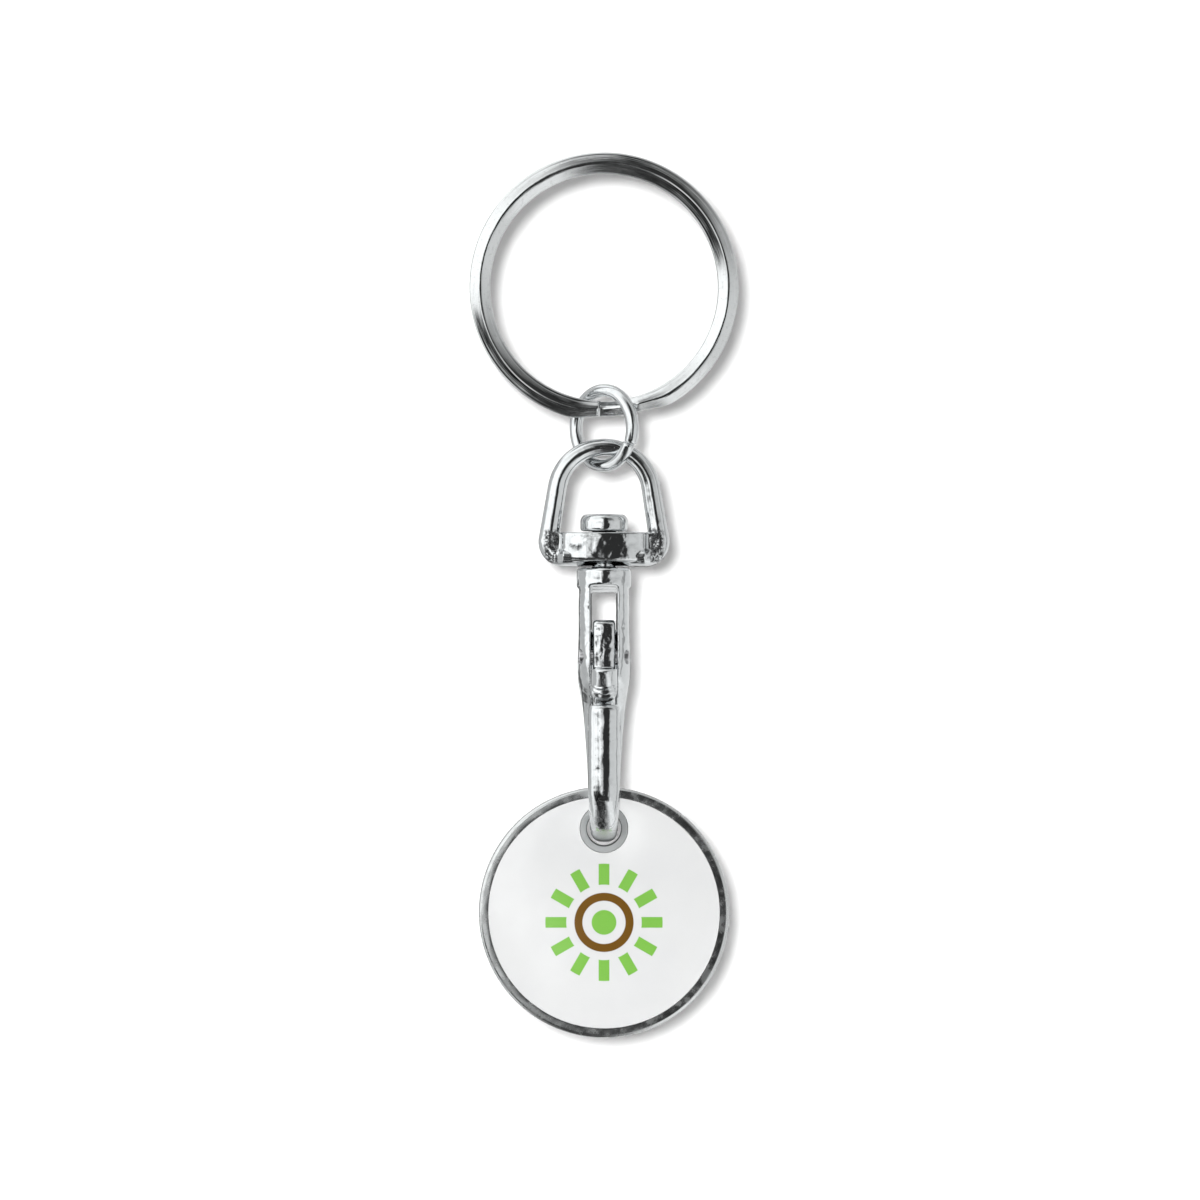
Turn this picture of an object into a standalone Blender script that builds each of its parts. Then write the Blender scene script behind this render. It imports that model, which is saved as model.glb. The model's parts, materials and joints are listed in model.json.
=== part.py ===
import math

import bpy
import bmesh
from mathutils import Matrix, Vector

# Trolley coin keyring, hanging from the inside of its split ring's top.
# The origin is that point, the front faces -Y, +Z is up, and every length is in metres.

# Clearances and small shared sizes
running_gap = 0.00005
seat_gap = 0.0001
cut_overrun = 0.001
sharp_angle = math.radians(35)

# Split ring: a roof-shaped strip wound twice, one turn in front of the other
split_inner_radius = 0.0106
split_strip_width = 0.0019
split_strip_thickness = 0.00096
split_turn_gap = 0.0001
split_crossing_length = 0.0037
split_crossing_offset = 0.0016
split_end_gap = 0.00012
split_trim = 0.0005
split_trim_run = 0.003
split_strip_shares = ((0.0, 1.0), (0.74, 0.6), (1.0, 0.22))
split_turn_steps = 60
split_crossing_steps = 10

# Jump ring: round wire, turned part of the way round so that it links both neighbours
jump_inner_diameter = 0.0058
jump_wire_diameter = 0.0012
jump_twist = math.radians(42)
jump_cut_angle = math.radians(-24)
jump_cut_gap = 0.00012
jump_cut_slip = 0.00008
jump_slip_run = math.radians(60)
jump_steps = 44
jump_sides = 12
rest_step = 0.00001
rest_points = 180

# Swivel eye: bow, the block that the shank turns in, and a web between them
eye_height = 0.01191
eye_width = 0.0122
eye_arch_radius = 0.0052
eye_bow_thickness = 0.0016
eye_bow_depth = 0.0017
eye_leg_thickness = 0.0019
eye_leg_depth = 0.0018
eye_corner_radius = 0.0023
eye_bar_depth = 0.004
eye_block_depth = 0.0048
eye_block_height = 0.00275
eye_block_drop = 0.00873
eye_block_top_edge = 0.00015
eye_block_bottom_edge = 0.0004
eye_block_power = 2.7
eye_bow_sides = 14

# Hook: peened head, shank and collar, turned about the swivel axis
head_diameter = 0.0044
head_height = 0.0016
head_edge = 0.00032
shank_diameter = 0.0021
collar_diameter = 0.00508
collar_height = 0.00205
collar_edge = 0.00025
neck_overlap = 0.0005
turned_steps = 32

# Hook: body, spine, bend and nose
hook_length = 0.0255
hook_depth = 0.0106
hook_limb_depth = 0.0025
hook_limb_width = 0.003
hook_bend_width = 0.0025
hook_nose_width = 0.0029
hook_tip_edge = 0.0005
hook_cheek_width = 0.005
hook_nose_gap = 0.00018
hook_ridge_power = 3.2
hook_ridge_slope_share = 0.18
hook_bend_ridged_share = 0.35
hook_round_power = 2.0
hook_square_power = 2.8
hook_sides = 20
hook_bend_steps = 14
hook_tip_steps = 5

# Rows from the neck down to the bend: how far down, front and back as shares of half the hook's depth,
# width as a share of the cheeks', and how far the back has turned from round to ridged
hook_body_shares = (
    (0.0, -0.434, 0.434, 0.92, 0.0),
    (0.09, -0.443, 0.453, 0.945, 0.0),
    (0.225, -0.453, 0.52, 0.945, 0.1),
    (0.305, -0.481, 0.6, 0.96, 0.2),
    (0.37, -0.519, 0.7, 0.98, 0.3),
    (0.423, -0.519, 0.775, 0.98, 0.45),
    (0.477, -0.434, 0.85, 0.968, 0.65),
    (0.52, -0.264, 0.905, 0.92, 0.8),
    (0.563, 0.0, 0.943, 0.86, 0.9),
    (0.607, 0.264, 0.972, 0.808, 1.0),
    (0.65, 0.415, 0.99, 0.772, 1.0),
    (0.71, 0.5, 1.0, 0.732, 1.0),
    (0.818, 0.528, 1.0, 0.672, 1.0),
    (0.925, 0.528, 1.0, 0.62, 1.0),
)

# Slot for the lever, open in front and with a window through the back above the lever
slot_front_width = 0.00255
slot_back_width = 0.0022
slot_collar_cut = 0.0005
slot_top_slope = math.radians(9.6)
slot_window_rise = 0.0024
slot_swing_start = 0.0008
slot_swing_length = 0.0046
slot_swing_angle = math.radians(36)
slot_mouth_drop = 0.0014

# Pin, its bore and its place in the body
pin_diameter = 0.0012
pin_length = 0.00485
pin_edge = 0.0001
pin_forward = 0.0012
pin_drop_share = 0.362
pin_steps = 24

# Gate lever, drawn from the pin: forward is towards the nose, up is towards the collar
lever_width = 0.00208
lever_barrel_radius = 0.00145
lever_arm_height = 0.00345
lever_arm_front = 0.00115
lever_arm_thickness = 0.0013
lever_tongue_lap = 0.002
lever_tongue_thickness = 0.0013
lever_tongue_tip_thickness = 0.001
lever_neck_height = 0.00095
lever_edge = 0.00028
knob_width = 0.0025
knob_reach = 0.0044
knob_radius = 0.00478
knob_root_radius = 0.0045
knob_neck = 0.0023
knob_inner_reach = 0.00276
knob_top_drop = 0.00108
knob_lip = 0.00022
knob_ridges = 3
knob_ridge_depth = 0.0003
knob_ridge_span = math.radians(23)
knob_hollow = 0.00018
knob_bulge_power = 2.4
knob_low_share = 0.62
knob_end_angle = math.radians(78)
knob_sections = 10

# Torsion spring round the pin, in a pocket in the lever's back
spring_wire = 0.00024
spring_coil_radius = 0.00078
spring_turns = 3
spring_pitch = 0.00029
spring_wall_angle = math.radians(25)
spring_tongue_angle = math.radians(30)
spring_wall_leg = 0.0016
spring_tongue_leg = 0.002
spring_points_per_turn = 16
pocket_width = 0.00125
pocket_radius = 0.00108
pocket_length = 0.0026
pocket_floor = 0.0005

# Coin token: rim, recessed faces and a raised collar round the hole
coin_diameter = 0.02326
coin_thickness = 0.00233
coin_edge = 0.00035
coin_rim_width = 0.00085
coin_recess = 0.0004
coin_hole_diameter = 0.0032
coin_hole_edge = 0.00012
coin_collar_diameter = 0.00449
coin_hole_margin = 0.00383
coin_steps = 88
hole_steps = 36
fill_thickness = 0.0003
fill_edge = 0.00004

# Colours: linear red, green, blue, then roughness and metallic
chrome_finish = ((0.78, 0.79, 0.8), 0.12, 1.0)
cast_chrome_finish = ((0.74, 0.75, 0.76), 0.16, 1.0)
steel_finish = ((0.55, 0.55, 0.56), 0.3, 1.0)
coin_finish = ((0.66, 0.67, 0.68), 0.2, 1.0)
fill_finish = ((0.82, 0.82, 0.83), 0.15, 0.0)


def unit_circle(count):
    angles = [2 * math.pi * step / count for step in range(count)]
    return [(math.cos(a), math.sin(a)) for a in angles]


def outline_distance(point, corners):
    distances = []
    for start, end in zip(corners, corners[1:]):
        along = end - start
        share = (point - start).dot(along) / along.length_squared
        share = min(max(share, 0.0), 1.0)
        distances.append((point - start - along * share).length)
    return min(distances)


# How near the jump ring's middle line, centred at the first height, comes to a wire bent round the
# second height. The corners outline a quarter of that wire, from its inner side to its front.
def linked_distance(height, ring_height, ring_radius, corners):
    distances = []
    for along, up in unit_circle(rest_points):
        across = jump_radius * along * math.cos(jump_twist)
        depth = jump_radius * along * math.sin(jump_twist)
        around = math.hypot(across, height + jump_radius * up - ring_height)
        point = Vector((abs(around - ring_radius), abs(depth)))
        distances.append(outline_distance(point, corners))
    return min(distances)


# A ring that hangs part turned rests a little above the lowest place that a square one would take.
def jump_ring_rise(lowest):
    layer = (split_strip_thickness + split_turn_gap) / 2
    half_width = split_strip_width / 2
    corners = [Vector((half_width, 0.0))]
    for across, up in reversed(split_strip_shares):
        depth = layer + up * split_strip_thickness / 2
        corners.append(Vector((across * half_width, depth)))
    needed = jump_wire_diameter / 2 + seat_gap
    rise = 0.0
    while rise < jump_wire_diameter:
        if linked_distance(lowest + rise, split_centre.z, split_mid_radius, corners) >= needed:
            break
        rise += rest_step
    return rise


def eye_rise(lowest_top):
    size = Vector((eye_bow_thickness / 2, eye_bow_depth / 2))
    quarter = unit_circle(eye_bow_sides * 4)[: eye_bow_sides + 1]
    corners = [Vector((x * size.x, y * size.y)) for x, y in quarter]
    arch_radius = eye_arch_radius - eye_bow_thickness / 2
    needed = jump_wire_diameter / 2 + seat_gap
    rise = 0.0
    while rise < eye_bow_thickness:
        arch_height = lowest_top + rise - eye_arch_radius
        if linked_distance(jump_height, arch_height, arch_radius, corners) >= needed:
            break
        rise += rest_step
    return rise


# Heights and places that follow from the sizes above
split_outer_radius = split_inner_radius + split_strip_width
split_centre = Vector((0.0, 0.0, -split_inner_radius))
split_mid_radius = (split_inner_radius + split_outer_radius) / 2
split_wire_height = -split_inner_radius - split_mid_radius
jump_radius = (jump_inner_diameter + jump_wire_diameter) / 2
jump_lowest = seat_gap - 2 * split_inner_radius - jump_inner_diameter / 2
jump_height = jump_lowest + jump_ring_rise(jump_lowest)
jump_seat = Vector((0.0, 0.0, jump_height - jump_radius))
eye_lowest_top = jump_height - jump_inner_diameter / 2 + seat_gap + eye_bow_thickness
eye_top = eye_lowest_top + eye_rise(eye_lowest_top)
eye_bottom = eye_top - eye_height
block_top = eye_top - eye_block_drop
eye_block_width = eye_width - 2 * eye_leg_thickness - 2 * running_gap
head_bottom = block_top + seat_gap
collar_top = eye_bottom - seat_gap
collar_bottom = collar_top - collar_height
neck_top = collar_bottom + neck_overlap
hook_bottom = collar_top - hook_length
bend_height = hook_bottom + hook_depth / 2
bend_radius = (hook_depth - hook_limb_depth) / 2
mouth_radius = hook_depth / 2 - hook_limb_depth
pin_height = neck_top - pin_drop_share * (neck_top - bend_height)
pin_place = Vector((0.0, -pin_forward, pin_height))
knob_bottom = math.sqrt(knob_radius**2 - knob_neck**2)
nose_tip_height = pin_height - knob_bottom - hook_nose_gap
lever_tongue_length = pin_height - nose_tip_height + lever_tongue_lap
coin_seat_rise = mouth_radius - math.sqrt(mouth_radius**2 - (coin_thickness / 2) ** 2)
coin_hole_top = hook_bottom + hook_limb_depth + coin_seat_rise + seat_gap
hole_centre = Vector((0.0, 0.0, coin_hole_top - coin_hole_diameter / 2))
coin_hole_offset = coin_diameter / 2 - coin_hole_margin
coin_centre = hole_centre - Vector((0.0, 0.0, coin_hole_offset))


def clear_scene():
    for item in list(bpy.data.objects):
        bpy.data.objects.remove(item, do_unlink=True)


def make_material(name, finish):
    colour, roughness, metallic = finish
    material = bpy.data.materials.new(name)
    material.use_nodes = True
    shader = material.node_tree.nodes["Principled BSDF"]
    shader.inputs["Base Color"].default_value = (*colour, 1.0)
    shader.inputs["Roughness"].default_value = roughness
    shader.inputs["Metallic"].default_value = metallic
    return material


def joint_axis(name, place, parent=None):
    axis = bpy.data.objects.new(name, None)
    axis.empty_display_size = running_gap
    bpy.context.collection.objects.link(axis)
    axis.location = place if parent is None else place - world_place(parent)
    axis.parent = parent
    return axis


def world_place(item):
    place = Vector(item.location)
    while item.parent:
        item = item.parent
        place += item.location
    return place


# A piece is modelled where it stands, then its mesh is moved so that its origin is its joint's axis.
def make_piece(name, shape, finish, axis):
    mesh = bpy.data.meshes.new(name)
    bmesh.ops.recalc_face_normals(shape, faces=shape.faces)
    shape.to_mesh(mesh)
    shape.free()
    mesh.transform(Matrix.Translation(-world_place(axis)))
    mesh.shade_smooth()
    mesh.set_sharp_from_angle(angle=sharp_angle)
    mesh.materials.append(make_material(name, finish))
    piece = bpy.data.objects.new(name, mesh)
    piece.parent = axis
    bpy.context.collection.objects.link(piece)
    return piece


def make_cutter(name, shape, axis):
    cutter = make_piece(name, shape, steel_finish, axis)
    cutter.hide_render = True
    cutter.display_type = "WIRE"
    return cutter


def combine(piece, other, operation):
    boolean = piece.modifiers.new(other.name, "BOOLEAN")
    boolean.operation = operation
    boolean.solver = "EXACT"
    boolean.object = other


def smooth_step(share):
    share = min(max(share, 0.0), 1.0)
    return share * share * (3 - 2 * share)


def mix(low, high, share):
    return low + (high - low) * share


def join_rings(shape, rings):
    for near, far in zip(rings, rings[1:]):
        for here, corner in enumerate(near):
            after = (here + 1) % len(near)
            shape.faces.new((corner, near[after], far[after], far[here]))


# Joins a row of equal outlines into one skin, capped at both ends or closed into a loop.
def loft(sections, closed=False):
    shape = bmesh.new()
    rings = [[shape.verts.new(point) for point in section] for section in sections]
    join_rings(shape, rings + rings[:1] if closed else rings)
    if not closed:
        shape.faces.new(tuple(reversed(rings[0])))
        shape.faces.new(tuple(rings[-1]))
    return shape


# Turns a profile of (radius, height) points about a vertical axis; its two ends are flat.
def turned(profile, centre, steps):
    sections = []
    for radius, height in profile:
        circle = unit_circle(steps)
        sections.append([centre + Vector((radius * x, radius * y, height)) for x, y in circle])
    return loft(sections)


def turned_about(profile, centre, steps, turn):
    shape = turned(profile, Vector((0.0, 0.0, 0.0)), steps)
    bmesh.ops.transform(
        shape, matrix=Matrix.Translation(centre) @ turn, verts=shape.verts
    )
    return shape


# A rounded outline whose two halves have their own sharpness: 2 is round, less is pointed.
def unit_outline(count, upper_power, lower_power):
    points = []
    for across, up in unit_circle(count):
        power = 2 / (upper_power if up > 0 else lower_power)
        points.append(
            (
                math.copysign(abs(across) ** power, across),
                math.copysign(abs(up) ** power, up),
            )
        )
    return points


# A solid with the same side outline all the way across: (y, z) points between two X planes.
def extruded_across(outline, half_width_at):
    left = [Vector((-half_width_at(y), y, z)) for y, z in outline]
    right = [Vector((half_width_at(y), y, z)) for y, z in outline]
    return loft([left, right])


def arc(centre, radius, start, end, steps):
    angles = [mix(start, end, step / steps) for step in range(steps + 1)]
    return [
        (centre[0] + radius * math.cos(a), centre[1] + radius * math.sin(a))
        for a in angles
    ]


# Split ring


def strip_outline():
    quarter = list(split_strip_shares)
    right = quarter + [(across, -up) for across, up in reversed(quarter)]
    left = [(-across, up) for across, up in reversed(right[1:-1])]
    return right + left


def split_wire_angles(half_crossing, end_gap):
    start = -(half_crossing + end_gap)
    first_turn = -(2 * math.pi - half_crossing)
    second_turn = -(2 * math.pi + half_crossing)
    end = -(4 * math.pi - half_crossing - end_gap)
    angles = [
        mix(start, first_turn, step / split_turn_steps)
        for step in range(split_turn_steps)
    ]
    angles += [
        mix(first_turn, second_turn, step / split_crossing_steps)
        for step in range(split_crossing_steps)
    ]
    angles += [
        mix(second_turn, end, step / split_turn_steps)
        for step in range(split_turn_steps + 1)
    ]
    return angles


# Squeezed narrower where the strip crosses from the front turn to the back one.
def split_trim_at(angle, half_crossing):
    around = abs((angle + math.pi) % (2 * math.pi) - math.pi)
    run = (around - half_crossing) * split_mid_radius / split_trim_run
    return split_trim * (1 - smooth_step(run))


def split_ring_shape():
    half_crossing = split_crossing_length / split_mid_radius / 2
    end_gap = split_end_gap / split_mid_radius
    middle = split_crossing_offset / split_mid_radius
    layer = (split_strip_thickness + split_turn_gap) / 2
    outline = strip_outline()
    sections = []
    for angle in split_wire_angles(half_crossing, end_gap):
        crossed = (-angle - (2 * math.pi - half_crossing)) / (2 * half_crossing)
        depth = mix(-layer, layer, smooth_step(crossed))
        outer = split_outer_radius - split_trim_at(angle, half_crossing)
        half_width = (outer - split_inner_radius) / 2
        outward = Vector((math.sin(middle + angle), 0.0, -math.cos(middle + angle)))
        section = []
        for across, up in outline:
            radius = split_inner_radius + half_width * (1 + across)
            point = split_centre + outward * radius
            point.y = depth - up * split_strip_thickness / 2
            section.append(point)
        sections.append(section)
    return loft(sections)


# Jump ring


def jump_ring_shape():
    along = Vector((math.cos(jump_twist), -math.sin(jump_twist), 0.0))
    across = Vector((math.sin(jump_twist), math.cos(jump_twist), 0.0))
    up = Vector((0.0, 0.0, 1.0))
    centre = Vector((0.0, 0.0, jump_height))
    half_gap = jump_cut_gap / jump_radius / 2
    start = jump_cut_angle + half_gap
    end = jump_cut_angle + 2 * math.pi - half_gap
    sections = []
    for step in range(jump_steps + 1):
        angle = mix(start, end, step / jump_steps)
        from_start = 1 - smooth_step((angle - start) / jump_slip_run)
        from_end = 1 - smooth_step((end - angle) / jump_slip_run)
        outward = along * math.cos(angle) + up * math.sin(angle)
        slip = across * jump_cut_slip * (from_start - from_end)
        sections.append(
            [
                centre + slip + outward * (jump_radius + x * jump_wire_diameter / 2)
                + across * (y * jump_wire_diameter / 2)
                for x, y in unit_circle(jump_sides)
            ]
        )
    return loft(sections)


# Swivel eye


# Half of the bow's middle line from the top centre to the bottom centre, each point with its outward
# direction, its half thickness in the plane of the bow and its half depth.
def eye_half_path():
    arch_centre = Vector((0.0, eye_top - eye_arch_radius))
    arch_radius = eye_arch_radius - eye_bow_thickness / 2
    corner_radius = eye_corner_radius - eye_leg_thickness / 2
    corner_centre = Vector(
        (eye_width / 2 - eye_corner_radius, eye_bottom + eye_corner_radius)
    )
    between = corner_centre - arch_centre
    lean = math.atan2(between.y, between.x)
    lean += math.acos((arch_radius - corner_radius) / between.length)
    bow = (eye_bow_thickness / 2, eye_bow_depth / 2)
    leg = (eye_leg_thickness / 2, eye_leg_depth / 2)
    bar = (eye_leg_thickness / 2, eye_bar_depth / 2)
    path = []
    for share in (0.0, 0.1, 0.2, 0.3, 0.4, 0.5, 0.6, 0.7, 0.8, 0.9, 1.0):
        angle = mix(math.pi / 2, lean, share)
        path.append((arch_centre, arch_radius, angle, bow, leg, share / 2))
    for share in (0.0, 0.2, 0.4, 0.6, 0.8, 1.0):
        angle = mix(lean, -math.pi / 2, share)
        path.append((corner_centre, corner_radius, angle, leg, bar, share * share))
    path.append((Vector((0.0, corner_centre.y)), corner_radius, -math.pi / 2, leg, bar, 1.0))
    return path


def eye_section(centre, radius, angle, sizes, side):
    thickness, depth = sizes
    outward = Vector((side * math.cos(angle), 0.0, math.sin(angle)))
    middle = Vector((side * centre.x, 0.0, centre.y)) + outward * radius
    backward = Vector((0.0, side, 0.0))
    return [
        middle + outward * (x * thickness) + backward * (y * depth)
        for x, y in unit_circle(eye_bow_sides)
    ]


def eye_bow_shape():
    half = eye_half_path()
    right = []
    left = []
    for centre, radius, angle, start, end, share in half:
        sizes = (mix(start[0], end[0], share), mix(start[1], end[1], share))
        right.append(eye_section(centre, radius, angle, sizes, 1))
        mirrored = [
            Vector((-point.x, point.y, point.z)) for point in right[-1]
        ]
        left.append(mirrored)
    return loft(right + list(reversed(left[1:-1])), closed=True)


def eye_block_shape():
    outline = unit_outline(28, eye_block_power, eye_block_power)
    bottom = block_top - eye_block_height
    levels = (
        (block_top, eye_block_top_edge),
        (block_top - eye_block_top_edge, 0.0),
        (bottom + eye_block_bottom_edge, 0.0),
        (bottom, eye_block_bottom_edge),
    )
    sections = []
    for height, inset in levels:
        half_width = eye_block_width / 2 - inset
        half_depth = eye_block_depth / 2 - inset
        sections.append(
            [Vector((x * half_width, y * half_depth, height)) for x, y in outline]
        )
    return loft(sections)


# A flat web fills the corners between the block and the bow's legs.
def eye_web_shape():
    corner_radius = eye_corner_radius - eye_leg_thickness / 2
    corner_across = eye_width / 2 - eye_corner_radius
    bottom = eye_bottom + eye_corner_radius - corner_radius / 2
    top_across = (eye_width - eye_leg_thickness) / 2 - running_gap
    bottom_across = corner_across + corner_radius / 2
    sections = []
    for height, across in ((bottom, bottom_across), (block_top - seat_gap, top_across)):
        sections.append(
            [
                Vector((side_x * across, side_y * eye_leg_depth / 2, height))
                for side_x, side_y in ((-1, -1), (1, -1), (1, 1), (-1, 1))
            ]
        )
    return loft(sections)


def shank_bore_shape():
    radius = shank_diameter / 2 + running_gap
    profile = ((radius, eye_bottom - cut_overrun), (radius, block_top + cut_overrun))
    return turned(profile, Vector((0.0, 0.0, 0.0)), turned_steps)


# Hook


def hook_stem_shape():
    head = head_diameter / 2
    shank = shank_diameter / 2
    collar = collar_diameter / 2
    head_top = head_bottom + head_height
    profile = (
        (head / 2, head_top),
        (head - head_edge, head_top - head_edge / 3),
        (head - head_edge / 3, head_top - head_edge),
        (head, head_top - head_edge * 2),
        (head, head_bottom + head_edge / 2),
        (head - head_edge / 2, head_bottom),
        (shank, head_bottom),
        (shank, collar_top),
        (collar - collar_edge, collar_top),
        (collar, collar_top - collar_edge),
        (collar, collar_bottom + collar_edge),
        (collar - collar_edge, collar_bottom),
        (shank, neck_top - cut_overrun),
    )
    return turned(profile, Vector((0.0, 0.0, 0.0)), turned_steps)


# One cross-section of the claw: a middle point in the Y-Z plane, the outward direction there, the half
# width across, the half depth along the outward direction, and the outline.
def claw_section(middle, outward, half_width, half_depth, outline):
    return [
        middle + Vector((x * half_width, 0.0, 0.0)) + outward * (y * half_depth)
        for x, y in outline
    ]


def claw_outline(ridged):
    outer_power = mix(hook_square_power, hook_ridge_power, ridged)
    inner_power = mix(hook_square_power, hook_round_power, ridged)
    points = []
    for x, y in unit_outline(hook_sides, outer_power, inner_power):
        slope = hook_ridge_slope_share * ridged if y > 0 else 0.0
        points.append((x, y * (1 - slope * abs(x))))
    return points


def body_sections():
    sections = []
    for drop, front, back, width, ridged in hook_body_shares:
        height = mix(neck_top, bend_height, drop)
        middle = Vector((0.0, (front + back) / 2 * hook_depth / 2, height))
        half_depth = (back - front) / 2 * hook_depth / 2
        half_width = width * hook_cheek_width / 2
        outline = claw_outline(ridged)
        backward = Vector((0.0, 1.0, 0.0))
        sections.append(
            claw_section(middle, backward, half_width, half_depth, outline)
        )
    return sections


def bend_sections():
    centre = Vector((0.0, 0.0, bend_height))
    sections = []
    for step in range(hook_bend_steps + 1):
        share = step / hook_bend_steps
        angle = math.pi * share
        outward = Vector((0.0, math.cos(angle), -math.sin(angle)))
        edge = hook_limb_width if share < 0.5 else hook_nose_width
        narrow = math.sin(angle)
        half_width = mix(edge, hook_bend_width, narrow * narrow) / 2
        outline = claw_outline(mix(1.0, hook_bend_ridged_share, narrow * narrow))
        middle = centre + outward * bend_radius
        sections.append(
            claw_section(middle, outward, half_width, hook_limb_depth / 2, outline)
        )
    return sections


def nose_sections():
    outline = claw_outline(1.0)
    forward = Vector((0.0, -1.0, 0.0))
    shoulder = nose_tip_height - hook_tip_edge
    heights = [(mix(bend_height, shoulder, share), 1.0) for share in (0.33, 0.67)]
    for step in range(hook_tip_steps):
        angle = math.pi / 2 * step / hook_tip_steps
        heights.append((shoulder + hook_tip_edge * math.sin(angle), math.cos(angle)))
    sections = []
    for height, share in heights:
        middle = Vector((0.0, -bend_radius, height))
        half_width = hook_nose_width / 2 - hook_tip_edge * (1 - share)
        half_depth = hook_limb_depth / 2 - hook_tip_edge * (1 - share)
        sections.append(
            claw_section(middle, forward, half_width, half_depth, outline)
        )
    return sections


def claw_shape():
    return loft(body_sections() + bend_sections() + nose_sections())


# The lever's slot, seen from the side: open in front, a sloping top, a window through the back, and
# below the pin a back wall that slopes as the opened tongue does.
def slot_shape():
    front = -hook_depth / 2 - cut_overrun
    back = hook_depth / 2 + cut_overrun
    top = collar_bottom + slot_collar_cut
    slope = math.tan(slot_top_slope)
    collar = collar_diameter / 2
    window_bottom = pin_place.z + slot_window_rise
    wall = pin_place.y + lever_barrel_radius + seat_gap
    swing_start = pin_place.z - slot_swing_start
    swing_end_y = wall + slot_swing_length * math.sin(slot_swing_angle)
    swing_end_z = swing_start - slot_swing_length * math.cos(slot_swing_angle)
    outline = (
        (front, top - (front + collar) * slope),
        (back, top - (back + collar) * slope),
        (back, window_bottom),
        (wall, window_bottom),
        (wall, swing_start),
        (swing_end_y, swing_end_z),
        (pin_place.y, swing_end_z),
        (front, pin_place.z - slot_mouth_drop),
    )

    def half_width(y):
        share = (y + hook_cheek_width / 2) / hook_cheek_width
        return mix(slot_front_width, slot_back_width, share) / 2

    return extruded_across(outline, half_width)


def along_pin(profile):
    turn = Matrix.Rotation(math.pi / 2, 4, "Y")
    return turned_about(profile, pin_place, pin_steps, turn)


def pivot_pin_shape():
    radius = pin_diameter / 2
    half = pin_length / 2
    profile = (
        (radius / 3, -half),
        (radius * 2 / 3, pin_edge / 3 - half),
        (radius - pin_edge / 2, pin_edge - half),
        (radius, pin_edge * 2 - half),
        (radius, half - pin_edge * 2),
        (radius - pin_edge / 2, half - pin_edge),
        (radius * 2 / 3, half - pin_edge / 3),
        (radius / 3, half),
    )
    return along_pin(profile)


def pin_bore_shape():
    radius = pin_diameter / 2 + running_gap
    half = pin_length / 2 + cut_overrun
    return along_pin(((radius, -half), (radius, half)))


# Gate lever


# The points of the lever's outline are taken from the pin, forward towards the nose and upwards.
def beside_pin(forward, up):
    return (pin_place.y - forward, pin_place.z + up)


def knob_surface(radius, start, end, steps, notch):
    points = []
    for step in range(steps + 1):
        angle = mix(start, end, step / steps)
        reach = radius - notch * (step % 2)
        points.append((reach * math.sin(angle), -reach * math.cos(angle)))
    return points


def lever_outline():
    arm_radius = lever_arm_thickness / 2
    arm_back = lever_arm_front - lever_arm_thickness
    barrel = lever_barrel_radius
    tongue_front = mouth_radius - pin_forward - seat_gap
    tongue_back = tongue_front - lever_tongue_thickness
    tip_radius = lever_tongue_tip_thickness / 2
    tip_height = -lever_tongue_length + tip_radius
    arm_top = lever_arm_height - arm_radius
    arm_middle = lever_arm_front - arm_radius
    points = arc((arm_middle, arm_top), arm_radius, 0.0, math.pi, 6)
    arm_meets = math.sqrt(barrel**2 - arm_back**2)
    tongue_meets = math.sqrt(barrel**2 - tongue_back**2)
    start = math.atan2(arm_meets, arm_back)
    end = math.atan2(-tongue_meets, tongue_back) + 2 * math.pi
    points += arc((0.0, 0.0), barrel, start, end, 10)
    tip_middle = tongue_front - tip_radius
    points += arc((tip_middle, tip_height), tip_radius, math.pi, 2 * math.pi, 6)
    root = math.asin(tongue_front / knob_root_radius)
    reach = math.asin(knob_inner_reach / knob_root_radius)
    points += knob_surface(knob_root_radius, root, reach, 4, 0.0)
    points.append((knob_inner_reach, -knob_top_drop - knob_lip))
    points.append((lever_arm_front, -lever_neck_height))
    return [beside_pin(forward, up) for forward, up in points]


def knob_outline():
    start = math.asin(knob_neck / knob_radius)
    end = math.acos((knob_top_drop + knob_lip) / knob_radius)
    ridge_end = start + knob_ridge_span
    points = knob_surface(knob_radius, start, ridge_end, knob_ridges * 2, knob_ridge_depth)
    points += knob_surface(knob_radius - knob_hollow, ridge_end, end, 5, 0.0)[1:-1]
    points.append((knob_reach, -knob_top_drop - knob_lip))
    points.append((knob_reach - knob_lip, -knob_top_drop))
    points.append((knob_neck, -knob_top_drop))
    return points


# The knob's outline shrinks towards its root on both sides, which rounds its front.
def knob_shape():
    share = 2 / knob_bulge_power
    sections = []
    for step in range(knob_sections + 1):
        angle = mix(-knob_end_angle, knob_end_angle, step / knob_sections)
        across = math.copysign(abs(math.sin(angle)) ** share, angle) * knob_width / 2
        bulge = math.cos(angle) ** share
        lower = mix(knob_low_share, 1.0, bulge)
        section = []
        for forward, up in knob_outline():
            reach = mix(knob_neck, forward, bulge)
            drop = (up + knob_top_drop) * lower - knob_top_drop
            y, z = beside_pin(reach, drop)
            section.append(Vector((across, y, z)))
        sections.append(section)
    return loft(sections)


# The side edges of the lever are broken all round.
def bevelled_lever_shape():
    shape = extruded_across(lever_outline(), lambda y: lever_width / 2)
    edges = [edge for edge in shape.edges if abs(edge.verts[0].co.x - edge.verts[1].co.x) < lever_edge]
    bmesh.ops.bevel(
        shape,
        geom=edges,
        offset=lever_edge,
        offset_type="OFFSET",
        segments=1,
        profile=0.5,
        affect="EDGES",
        clamp_overlap=False,
    )
    return shape


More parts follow.
